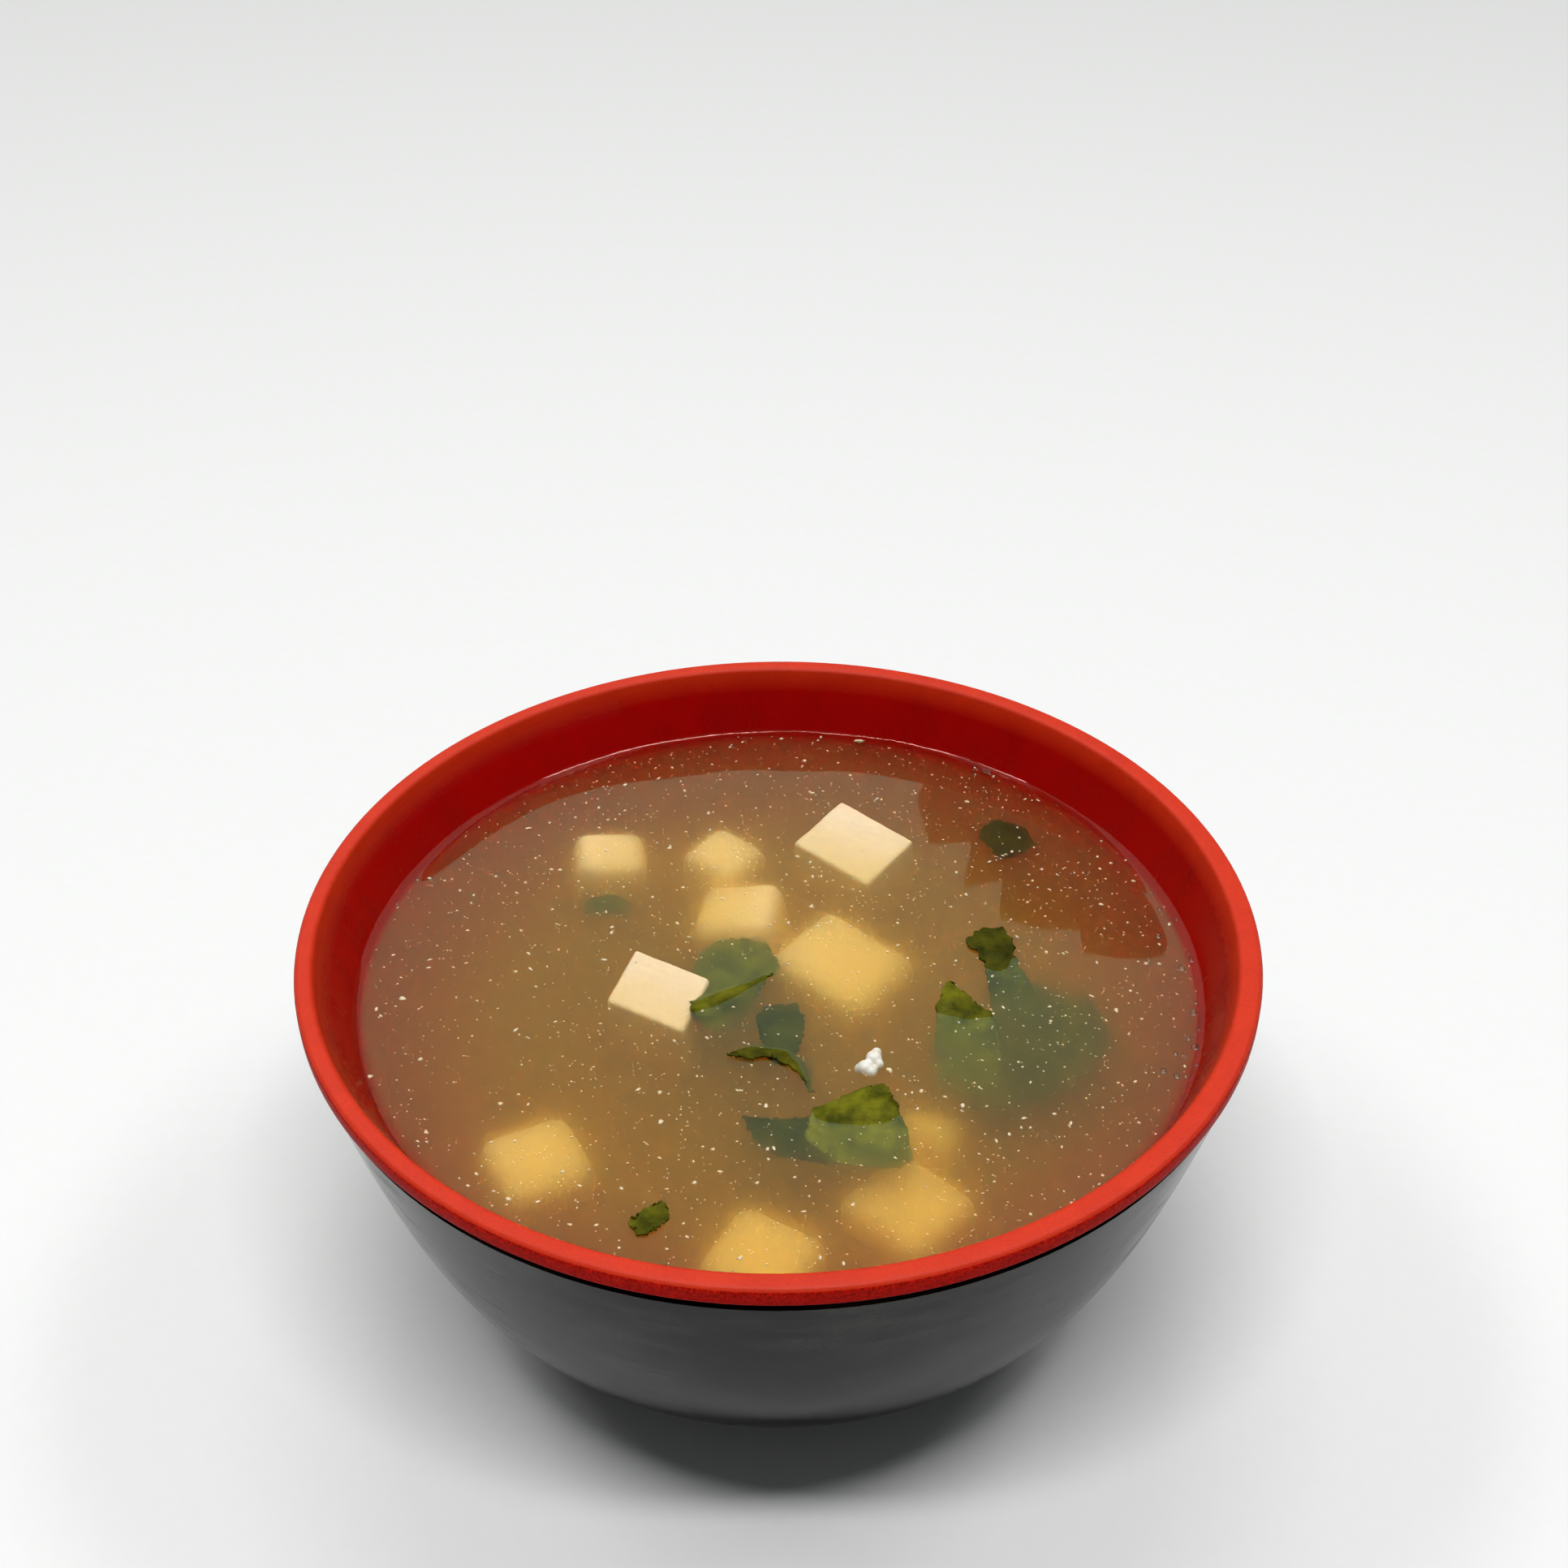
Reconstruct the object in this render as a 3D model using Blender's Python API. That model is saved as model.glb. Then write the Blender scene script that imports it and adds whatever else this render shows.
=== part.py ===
"""Miso soup in its two-layer bowl, with tofu and wakame at the surface.

The black shell carries the foot ring, and the red lining folds over its top edge as the lip.
The broth fills the lining up to its level and is cut round each piece that breaks its surface.
Origin: the middle of the foot ring, on the table. +Z is up and +Y is the back. Metres.
"""

from math import cos, pi, radians, sin

import bmesh
import bpy
from mathutils import Matrix, Vector
from mathutils.geometry import interpolate_bezier

MM = 0.001
GAP = 0.3 * MM                      # clearance between solids that touch
SEGMENTS = 60                       # steps round every turned piece

# Bowl, outside
RIM_RADIUS = 65.0 * MM
BOWL_HEIGHT = 58.0 * MM
LIP_HEIGHT = 2.6 * MM               # the red band that shows outside
LIP_WIDTH = 2.9 * MM
LIP_OUTER_ROUND = 1.3 * MM
LIP_INNER_ROUND = 0.8 * MM
LIP_OVERHANG = 0.3 * MM             # how far the lip stands out past the black side
LIP_UNDERSIDE = BOWL_HEIGHT - LIP_HEIGHT
FOOT_RADIUS = 31.2 * MM
FOOT_WIDTH = 3.4 * MM
FOOT_CHAMFER = 0.4 * MM
UNDERSIDE_HEIGHT = 5.0 * MM         # recess inside the foot ring

# The side is one cubic curve from the floor's edge up to the lip
FLOOR_RADIUS = 32.0 * MM
FLOOR_HEIGHT = 6.0 * MM
FLOOR_LEAN = radians(2.4)
FLOOR_PULL = 19.95 * MM
SIDE_LEAN = radians(13.4)
SIDE_PULL = 35.9 * MM
SIDE_STEPS = 8
SHOULDER = 0.5 * MM                 # rounding of the shell's top edge under the lip

# Wall, measured square to the outer side
SHELL_WALL = 1.8 * MM
FULL_WALL = 4.6 * MM                # shell, clearance and lining together
WALL_AT_LIP = 3.1 * MM
WALL_TAPER_FROM = 42.0 * MM         # above this height the wall thins towards the lip

# Broth
BROTH_LEVEL = 48.1 * MM
POCKET_TOP = BROTH_LEVEL + 4.0 * MM

# Tofu: name, middle of the top, length, width, height, turn, tilt along, tilt across (degrees)
TOFU_EDGE_ROUND = 0.45 * MM
TOFU = (
    ("tofu_large", (11.5, 29.2), 14.3, 12.6, 12.0, -40.5, 1.5, 6.0),
    ("tofu_small", (-16.6, -3.7), 12.2, 10.6, 10.5, -28.0, 1.0, 2.5),
)
TOFU_PROUD = 0.35 * MM              # highest corner above the broth

# Wakame: name, spine as (x, y, height over the broth), half widths, cupping, waviness
LEAF_THICKNESS = 0.8 * MM
LEAF_STATIONS = 8
LEAF_COLUMNS = 4
WAKAME = (
    ("wakame_round",
     ((-8.4, -7.0, 0.2), (-6.4, -3.6, 0.1), (-5.8, 1.5, -0.3), (-6.2, 7.6, -0.8)),
     (2.0, 4.9, 5.8, 2.6), -0.3, 0.03),
    ("wakame_strip",
     ((-6.8, -17.6, 0.3), (-3.4, -16.6, 0.4), (0.2, -18.0, 0.1), (3.6, -23.6, -0.2)),
     (0.4, 1.3, 1.5, 0.6), 0.3, 0.10),
    ("wakame_fold",
     ((9.0, -25.4, 0.4), (10.6, -29.4, 0.1), (12.2, -34.0, -0.6)),
     (4.2, 4.9, 4.0), 0.5, 0.10),
    ("wakame_tip",
     ((23.8, -3.2, 0.5), (24.3, -7.0, 0.2), (25.4, -11.4, -0.6)),
     (0.5, 2.3, 4.0), 0.5, 0.08),
    ("wakame_leaf",
     ((29.6, 7.0, 0.4), (31.0, 3.4, 0.2), (31.2, -0.8, 0.0), (32.6, -6.2, -0.6)),
     (3.3, 2.9, 1.7, 2.2), 0.4, 0.12),
    ("wakame_fleck",
     ((-17.8, -46.9, 0.2), (-15.8, -45.9, 0.3), (-13.8, -45.0, 0.0)),
     (1.4, 2.1, 1.2), 0.3, 0.12),
)


def clear_scene():
    for thing in list(bpy.data.objects):
        bpy.data.objects.remove(thing)


def finish(name, colour, roughness, metallic=0.0):
    """A Principled material of one colour."""
    material = bpy.data.materials.new(name)
    material.use_nodes = True
    shader = material.node_tree.nodes["Principled BSDF"]
    shader.inputs["Base Color"].default_value = (*colour, 1.0)
    shader.inputs["Roughness"].default_value = roughness
    shader.inputs["Metallic"].default_value = metallic
    return material


def add_object(name, bm, material, sharp_angle=radians(35)):
    """Turn a bmesh into a named object that is shaded smooth between its sharp edges."""
    mesh = bpy.data.meshes.new(name)
    bm.to_mesh(mesh)
    bm.free()
    mesh.shade_smooth()
    mesh.set_sharp_from_angle(angle=sharp_angle)
    mesh.materials.append(material)
    thing = bpy.data.objects.new(name, mesh)
    bpy.context.collection.objects.link(thing)
    return thing


def as_cutter(thing):
    thing.hide_render = True
    thing.display_type = "WIRE"
    return thing


def cut(thing, cutter):
    boolean = thing.modifiers.new(f"cut_{cutter.name}", "BOOLEAN")
    boolean.operation = "DIFFERENCE"
    boolean.solver = "EXACT"
    boolean.object = cutter


# ---------------------------------------------------------------- bowl and broth

def side_curve():
    """The outer side from the floor's edge up to the lip, as (radius, height) vectors."""
    floor = Vector((FLOOR_RADIUS, FLOOR_HEIGHT, 0))
    lip = Vector((RIM_RADIUS - LIP_OVERHANG, LIP_UNDERSIDE, 0))
    floor_handle = floor + FLOOR_PULL * Vector((cos(FLOOR_LEAN), -sin(FLOOR_LEAN), 0))
    lip_handle = lip - SIDE_PULL * Vector((sin(SIDE_LEAN), cos(SIDE_LEAN), 0))
    points = interpolate_bezier(floor, floor_handle, lip_handle, lip, SIDE_STEPS + 1)
    return [Vector((p.x, p.y)) for p in points]


def wall_at(height):
    """Full wall low down, thinning smoothly to the wall under the lip."""
    rise = max(0.0, height - WALL_TAPER_FROM) / (LIP_UNDERSIDE - WALL_TAPER_FROM)
    return FULL_WALL - (FULL_WALL - WALL_AT_LIP) * rise ** 2


def moved_in(points, thickness_at):
    """The side moved square to itself into the bowl, by a thickness that depends on height."""
    moved = []
    for i, point in enumerate(points):
        along = points[min(i + 1, len(points) - 1)] - points[max(i - 1, 0)]
        along.normalize()
        inward = Vector((-along.y, along.x))
        moved.append(point + inward * thickness_at(point.y))
    return moved


def level_off(points, height):
    """Rising points cut off at a height, with a last point exactly on it."""
    kept = [p for p in points if p.y < height - GAP]
    below, above = kept[-1], points[len(kept)]
    share = (height - below.y) / (above.y - below.y)
    return kept + [below.lerp(above, share)]


def arc(middle, radius, start, end, steps):
    """Points on an arc, with its angles in degrees from the outward direction."""
    angles = [radians(start + (end - start) * i / steps) for i in range(steps + 1)]
    return [Vector((middle[0] + radius * cos(a), middle[1] + radius * sin(a))) for a in angles]


def turned(name, profile, material):
    """A solid of revolution from (radius, height) points that start and end on the axis."""
    bm = bmesh.new()
    verts = [bm.verts.new((radius, 0.0, height)) for radius, height in profile]
    edges = [bm.edges.new(pair) for pair in zip(verts, verts[1:])]
    bmesh.ops.spin(bm, geom=verts + edges, axis=(0, 0, 1), angle=2 * pi, steps=SEGMENTS)
    bmesh.ops.remove_doubles(bm, verts=bm.verts, dist=MM / 1000)
    bmesh.ops.recalc_face_normals(bm, faces=bm.faces)
    return add_object(name, bm, material)


def on_axis(point):
    """The point where a nearly flat floor meets the axis, a little lower than its edge."""
    return Vector((0.0, point.y - 0.5 * MM))


def foot_profile():
    """From the axis out along the recess, down inside the foot ring and up outside it."""
    inner = FOOT_RADIUS - FOOT_WIDTH
    return [
        Vector((0.0, UNDERSIDE_HEIGHT)),
        Vector((inner - 1.2 * MM, UNDERSIDE_HEIGHT)),
        Vector((inner - 0.3 * MM, UNDERSIDE_HEIGHT - 0.8 * MM)),
        Vector((inner, FOOT_CHAMFER)),
        Vector((inner + FOOT_CHAMFER, 0.0)),
        Vector((FOOT_RADIUS - FOOT_CHAMFER, 0.0)),
        Vector((FOOT_RADIUS, FOOT_CHAMFER)),
        Vector((FOOT_RADIUS + 0.1 * MM, FLOOR_HEIGHT - 1.2 * MM)),
    ]


def bowl_shell(material):
    """The black outer layer with the foot ring; its top edge is tucked under the lip."""
    top = LIP_UNDERSIDE - GAP
    outer = level_off(side_curve(), top - SHOULDER)
    inner = level_off(moved_in(side_curve(), lambda height: SHELL_WALL), top)
    shoulder = Vector((outer[-1].x - SHOULDER, top))
    profile = foot_profile() + outer + [shoulder] + inner[::-1] + [on_axis(inner[0])]
    return turned("bowl_shell", profile, material)


def lining_inside():
    """The wall that the broth touches, from the floor's edge up to the lip."""
    return moved_in(side_curve(), wall_at)


def bowl_lining(material):
    """The red inner layer, with the rounded lip that hangs over the shell."""
    outer = level_off(moved_in(side_curve(), lambda height: SHELL_WALL + GAP), LIP_UNDERSIDE)
    chamfer = LIP_OVERHANG
    underside = [
        Vector((RIM_RADIUS - chamfer, LIP_UNDERSIDE)),
        Vector((RIM_RADIUS, LIP_UNDERSIDE + chamfer)),
    ]
    outer_middle = (RIM_RADIUS - LIP_OUTER_ROUND, BOWL_HEIGHT - LIP_OUTER_ROUND)
    inner_middle = (RIM_RADIUS - LIP_WIDTH + LIP_INNER_ROUND, BOWL_HEIGHT - LIP_INNER_ROUND)
    lip = arc(outer_middle, LIP_OUTER_ROUND, 0, 90, 3)
    lip += arc(inner_middle, LIP_INNER_ROUND, 90, 165, 3)
    inner = lining_inside()
    profile = [on_axis(outer[0])] + outer + underside + lip + inner[::-1] + [on_axis(inner[0])]
    return turned("bowl_lining", profile, material)


def broth(material):
    """The liquid, level on top and a clearance away from the lining."""
    side = moved_in(side_curve(), lambda height: wall_at(height) + GAP)
    side = level_off(side, BROTH_LEVEL)
    profile = [on_axis(side[0])] + side + [Vector((0.0, BROTH_LEVEL))]
    return turned("miso_soup", profile, material)


# ---------------------------------------------------------------- tofu

def block(length, width, height, grow, rise):
    """A box under its own origin, grown on its sides and floor and raised at its top."""
    bm = bmesh.new()
    bmesh.ops.create_cube(bm, size=1.0)
    for vert in bm.verts:
        vert.co.x *= length + 2 * grow
        vert.co.y *= width + 2 * grow
        vert.co.z = rise if vert.co.z > 0 else -height - grow
    return bm


def tofu_placement(middle, length, width, turn, along, across):
    """Turned about Z, tilted both ways, and lifted so that one corner stands proud."""
    tilt = Matrix.Rotation(radians(across), 4, "X") @ Matrix.Rotation(radians(along), 4, "Y")
    turned_tilt = Matrix.Rotation(radians(turn), 4, "Z") @ tilt
    corners = [Vector((sx * length / 2, sy * width / 2, 0)) for sx in (-1, 1) for sy in (-1, 1)]
    highest = max((turned_tilt @ corner).z for corner in corners)
    level = BROTH_LEVEL + TOFU_PROUD - highest
    return Matrix.Translation((middle[0] * MM, middle[1] * MM, level)) @ turned_tilt


def tofu(entry, material):
    """A hand-cut cube, slightly out of square, and the cutter for its pocket."""
    name, middle, length, width, height, turn, along, across = entry
    length, width, height = length * MM, width * MM, height * MM
    placement = tofu_placement(middle, length, width, turn, along, across)
    bm = block(length, width, height, 0.0, 0.0)
    for i, vert in enumerate(bm.verts):
        vert.co.x *= 1.0 - 0.035 * (0.5 + 0.5 * sin(2.3 * i + length / MM))
        vert.co.y *= 1.0 - 0.035 * (0.5 + 0.5 * sin(4.1 * i + width / MM))
    bmesh.ops.bevel(bm, geom=bm.edges[:], offset=TOFU_EDGE_ROUND, segments=2, affect="EDGES",
                    profile=0.5)
    cube = add_object(name, bm, material)
    cube.matrix_world = placement
    pocket = block(length, width, height, GAP, POCKET_TOP - BROTH_LEVEL)
    cutter = as_cutter(add_object(f"pocket_{name}", pocket, material))
    cutter.matrix_world = placement
    return cube, cutter


# ---------------------------------------------------------------- wakame

def smooth(values, count):
    """A Catmull-Rom curve through the values, read at evenly spaced places."""
    knots = [Vector(value) for value in values]
    ends = [2 * knots[0] - knots[1]] + knots + [2 * knots[-1] - knots[-2]]
    read = []
    for i in range(count):
        place = (len(knots) - 1) * i / (count - 1)
        span = min(int(place), len(knots) - 2)
        t = place - span
        a, b, c, d = ends[span:span + 4]
        read.append(0.5 * (2 * b + (c - a) * t + (2 * a - 5 * b + 4 * c - d) * t ** 2
                           + (3 * b - a - 3 * c + d) * t ** 3))
    return read


def leaf_sheet(spine, half_widths, cupping, waviness, grow):
    """One open sheet along a spine, cupped across and wavy at its edges."""
    middle = smooth(spine, LEAF_STATIONS)
    widths = smooth([(w, 0) for w in half_widths], LEAF_STATIONS)
    bm = bmesh.new()
    rows = []
    for i, point in enumerate(middle):
        along = middle[min(i + 1, LEAF_STATIONS - 1)] - middle[max(i - 1, 0)]
        along.z = 0.0
        along.normalize()
        side = Vector((-along.y, along.x, 0.0))
        end = (i == LEAF_STATIONS - 1) - (i == 0)
        row = []
        for j in range(LEAF_COLUMNS + 1):
            across = 2 * j / LEAF_COLUMNS - 1
            width = widths[i].x * (1 + waviness * sin(2.4 * i + 1.7 * across))
            place = point + side * across * (width + grow) + along * end * grow
            place.z += cupping * across ** 2
            row.append(bm.verts.new((place.x * MM, place.y * MM, BROTH_LEVEL + place.z * MM)))
        rows.append(row)
    for low, high in zip(rows, rows[1:]):
        for j in range(LEAF_COLUMNS):
            bm.faces.new((low[j + 1], low[j], high[j], high[j + 1]))
    return bm


def thicken(bm, depth, top=None):
    """Close a sheet into a solid: its copy drops by a depth, and its face may rise to a level."""
    underside = bmesh.ops.extrude_face_region(bm, geom=bm.faces[:])
    low = [item for item in underside["geom"] if isinstance(item, bmesh.types.BMVert)]
    lowered = set(low)
    for vert in bm.verts:
        if vert in lowered:
            vert.co.z -= depth
        elif top is not None:
            vert.co.z = top
    bmesh.ops.recalc_face_normals(bm, faces=bm.faces)
    return bm


def wakame(entry, material):
    """A thin leaf lying at the surface, and the cutter for its shallow pocket."""
    name, spine, half_widths, cupping, waviness = entry
    sheet = leaf_sheet(spine, half_widths, cupping, waviness, 0.0)
    leaf = add_object(name, thicken(sheet, LEAF_THICKNESS), material)
    grown = leaf_sheet(spine, half_widths, cupping, waviness, GAP / MM)
    pocket = thicken(grown, LEAF_THICKNESS + GAP, POCKET_TOP)
    return leaf, as_cutter(add_object(f"pocket_{name}", pocket, material))


# ---------------------------------------------------------------- whole

def build():
    clear_scene()
    black = finish("black_melamine", (0.012, 0.012, 0.013), 0.18)
    red = finish("red_melamine", (0.62, 0.035, 0.016), 0.28)
    cloudy = finish("miso_broth", (0.30, 0.18, 0.07), 0.10)
    cream = finish("tofu", (0.90, 0.74, 0.47), 0.45)
    green = finish("wakame", (0.035, 0.085, 0.015), 0.30)

    bowl_shell(black)
    bowl_lining(red)
    soup = broth(cloudy)
    pockets = {}
    for entry in TOFU:
        pockets[entry[0]] = tofu(entry, cream)[1]
        cut(soup, pockets[entry[0]])
    for entry in WAKAME:
        leaf, pocket = wakame(entry, green)
        cut(soup, pocket)
        if leaf.name == "wakame_round":
            cut(leaf, pockets["tofu_small"])


build()
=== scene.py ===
"""Miso soup in its two-layer bowl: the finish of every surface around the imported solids.

Each operator makes one piece or one group of like pieces, and the panel in the sidebar lists them.
Lengths are metres, +Z is up, +Y is the back, and the origin is the middle of the foot ring.
"""

import random
from math import cos, exp, pi, radians, sin, sqrt

import bmesh
import bpy
from bpy.props import FloatProperty, FloatVectorProperty, IntProperty, PointerProperty
from bpy.types import Operator, Panel, PropertyGroup
from mathutils import Matrix, Vector, noise
from mathutils.geometry import interpolate_bezier


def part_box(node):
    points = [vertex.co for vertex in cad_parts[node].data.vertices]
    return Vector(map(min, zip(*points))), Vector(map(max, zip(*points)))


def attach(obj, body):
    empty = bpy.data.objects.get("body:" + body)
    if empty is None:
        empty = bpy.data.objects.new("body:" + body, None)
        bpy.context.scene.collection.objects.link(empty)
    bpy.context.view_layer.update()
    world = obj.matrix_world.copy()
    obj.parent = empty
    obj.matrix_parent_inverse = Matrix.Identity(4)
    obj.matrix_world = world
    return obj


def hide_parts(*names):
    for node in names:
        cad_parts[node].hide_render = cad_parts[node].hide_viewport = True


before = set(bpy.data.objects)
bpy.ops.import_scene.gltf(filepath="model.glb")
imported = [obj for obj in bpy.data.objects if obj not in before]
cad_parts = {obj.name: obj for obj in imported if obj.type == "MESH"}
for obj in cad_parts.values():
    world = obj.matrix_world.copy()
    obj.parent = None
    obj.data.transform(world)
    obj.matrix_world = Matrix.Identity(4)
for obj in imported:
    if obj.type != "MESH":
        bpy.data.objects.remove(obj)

bl_info = {
    "name": "Miso Soup Bowl",
    "version": (1, 0, 0),
    "blender": (4, 5, 0),
    "location": "View3D > Sidebar > Miso Soup",
    "description": "Dresses a packed bowl of miso soup: ware, broth, tofu, wakame and specks",
    "category": "Object",
}

MM = 0.001
BODY = "root"

# Sizes: the first three read from the imported solids, the foot's given
RIM_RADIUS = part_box("bowl_lining")[1].x
BOWL_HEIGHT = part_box("bowl_lining")[1].z
BROTH_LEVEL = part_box("miso_soup")[1].z
FOOT_RADIUS = 31.2 * MM
FOOT_WIDTH = 3.4 * MM
FOOT_ROUND = 0.5 * MM
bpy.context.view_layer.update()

# Bowl outline
LIP_HEIGHT = 2.6 * MM               # the red band that shows outside
LIP_UNDERSIDE = BOWL_HEIGHT - LIP_HEIGHT
LIP_OVERHANG = 0.3 * MM
FLOOR_RADIUS = 32.0 * MM
FLOOR_HEIGHT = 6.0 * MM
FLOOR_LEAN = radians(2.4)
FLOOR_PULL = 19.95 * MM
SIDE_LEAN = radians(13.4)
SIDE_PULL = 35.9 * MM
UNDERSIDE_HEIGHT = 5.0 * MM
SHELL_WALL = 1.8 * MM
FULL_WALL = 4.6 * MM
WALL_AT_LIP = 3.1 * MM
WALL_TAPER_FROM = 42.0 * MM
GAP = 0.3 * MM
REBATE_DEPTH = 0.6 * MM             # the shell steps in under the lip
REBATE_HEIGHT = 1.2 * MM

# Tofu at the surface: middle of the top, length, width, height, turn, tilt along, tilt across,
# skew, height of the highest corner over the broth, in millimetres and degrees
SURFACE_TOFU = {
    "tofu_large": ((11.5, 29.4), 14.6, 12.3, 12.0, -42.5, 1.6, 3.2, -0.09, 0.10),
    "tofu_small": ((-16.6, -3.9), 12.4, 10.5, 10.5, -30.5, 0.4, 3.2, -0.20, -0.08),
}

# Tofu under the surface: middle of the top, depth of the top, length, width, height, turn, tilts
SUNK_TOFU = {
    "tofu_back_left": ((-25.4, 29.8), 2.1, 10.8, 9.8, 10.0, 8.0, 7.0, 5.0),
    "tofu_back_middle": ((-8.2, 30.3), 2.9, 10.2, 10.2, 10.0, -38.0, 5.0, 2.0),
    "tofu_middle": ((-6.5, 17.2), 3.0, 12.4, 11.8, 10.0, -10.4, -13.0, 3.0),
    "tofu_centre": ((9.4, 6.9), 4.3, 17.0, 15.2, 11.5, -38.0, 7.0, -1.0),
    "tofu_front_left": ((-31.0, -30.4), 5.1, 12.6, 12.0, 11.0, 28.0, 3.0, 6.0),
    "tofu_front_right": ((16.2, -37.1), 6.4, 13.8, 13.0, 11.0, -44.0, 3.0, 3.0),
    "tofu_front": ((-2.2, -45.9), 6.1, 13.0, 12.4, 10.0, -30.0, 2.0, 4.0),
    "tofu_right": ((19.8, -23.4), 8.0, 9.0, 8.0, 8.0, -15.0, 2.0, 2.0),
}

# Wakame: rows of points from edge to edge as (x, y, height over the broth), in millimetres
LEAVES = {
    "wakame_round_leaf": (
        ((-9.2, 7.6, -1.7), (-6.2, 8.4, -1.7), (-3.2, 8.2, -1.7)),
        ((-11.2, 4.6, -1.5), (-6.0, 5.4, -1.3), (-0.9, 5.6, -1.5)),
        ((-11.9, 0.4, -1.2), (-6.0, 1.6, -1.0), (-0.1, 2.4, -1.2)),
        ((-12.3, -5.0, -0.8), (-6.4, -2.4, -0.7), (-0.2, 0.2, -0.9)),
        ((-11.9, -8.2, 0.35), (-6.6, -5.5, 0.35), (-1.4, -1.7, 0.2)),
        ((-11.4, -9.2, -0.3), (-7.4, -8.0, -0.9), (-2.4, -3.6, -1.6)),
        ((-10.4, -10.2, -1.6), (-7.2, -9.6, -2.8), (-3.6, -5.4, -3.4)),
    ),
    "wakame_strip_leaf": (
        ((-7.0, -17.7, 0.3), (-6.9, -17.6, 0.3), (-6.8, -17.5, 0.25)),
        ((-4.9, -18.1, 0.4), (-4.6, -17.0, 0.4), (-4.3, -15.7, 0.0)),
        ((-1.6, -18.2, 0.4), (-1.5, -16.8, 0.3), (-1.4, -14.6, -0.9)),
        ((0.6, -18.9, 0.35), (1.2, -17.2, 0.0), (1.6, -14.6, -1.6)),
        ((2.7, -21.1, 0.25), (3.3, -20.0, -0.4), (3.9, -18.6, -1.8)),
        ((4.0, -24.0, -0.3), (4.4, -23.8, -0.6), (4.7, -23.4, -1.2)),
    ),
    "wakame_fold_leaf": (
        ((4.2, -27.6, 0.1), (3.6, -29.6, -0.5), (3.0, -33.0, -2.4)),
        ((6.4, -26.6, 0.4), (6.4, -29.8, 0.0), (6.4, -34.4, -2.2)),
        ((9.4, -24.8, 0.45), (9.6, -29.6, 0.2), (9.6, -35.4, -2.0)),
        ((12.0, -23.8, 0.45), (12.6, -29.4, 0.15), (13.2, -35.8, -2.0)),
        ((13.9, -23.8, 0.4), (15.0, -29.2, 0.0), (15.6, -35.2, -2.2)),
        ((14.7, -26.0, 0.2), (16.0, -30.2, -0.4), (17.0, -34.0, -2.4)),
    ),
    "wakame_tip_leaf": (
        ((23.4, -3.0, 0.45), (23.7, -3.0, 0.45), (23.9, -3.1, 0.45)),
        ((22.4, -5.4, 0.4), (23.6, -5.3, 0.45), (24.9, -5.2, 0.4)),
        ((21.8, -8.4, 0.25), (24.4, -8.1, 0.35), (26.9, -7.6, 0.3)),
        ((21.0, -11.6, -0.7), (25.0, -11.0, -0.1), (28.9, -10.2, 0.05)),
        ((20.9, -15.6, -2.6), (25.2, -15.0, -2.0), (29.6, -14.0, -1.8)),
        ((21.5, -20.5, -4.2), (25.4, -20.2, -4.0), (29.0, -19.6, -4.0)),
    ),
    "wakame_right_leaf": (
        ((26.3, 5.4, 0.4), (28.8, 7.4, 0.45), (32.0, 8.2, 0.4)),
        ((27.2, 3.6, 0.35), (30.0, 4.8, 0.4), (33.0, 5.6, 0.3)),
        ((28.7, 0.8, 0.1), (31.0, 1.4, 0.2), (33.4, 1.8, 0.0)),
        ((29.0, -3.0, -0.45), (31.8, -2.4, -0.4), (34.6, -1.8, -0.7)),
        ((29.4, -7.4, -2.2), (33.4, -6.4, -2.2), (37.5, -5.4, -2.6)),
        ((30.0, -12.0, -3.6), (36.0, -10.6, -3.6), (42.0, -9.0, -3.8)),
    ),
    "wakame_fleck_leaf": (
        ((-18.0, -46.6, 0.3), (-17.7, -45.6, 0.3)),
        ((-17.2, -48.2, 0.3), (-16.3, -44.2, 0.35)),
        ((-15.2, -47.9, 0.3), (-14.6, -43.4, 0.35)),
        ((-13.8, -46.4, 0.25), (-13.4, -44.2, 0.3)),
    ),
}
LEAF_NODES = {
    "wakame_round_leaf": "wakame_round",
    "wakame_strip_leaf": "wakame_strip",
    "wakame_fold_leaf": "wakame_fold",
    "wakame_tip_leaf": "wakame_tip",
    "wakame_right_leaf": "wakame_leaf",
    "wakame_fleck_leaf": "wakame_fleck",
}
LEAF_PAINTED_SHADING = {                     # painted light and shade: how lit or shaded a leaf looks beside the others
    "wakame_strip_leaf": 0.75,
    "wakame_fold_leaf": 1.30,
    "wakame_right_leaf": 0.50,
    "wakame_sunk_back": 0.40,
    "wakame_sunk_middle": 0.80,
    "wakame_sunk_front": 0.60,
}
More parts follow.
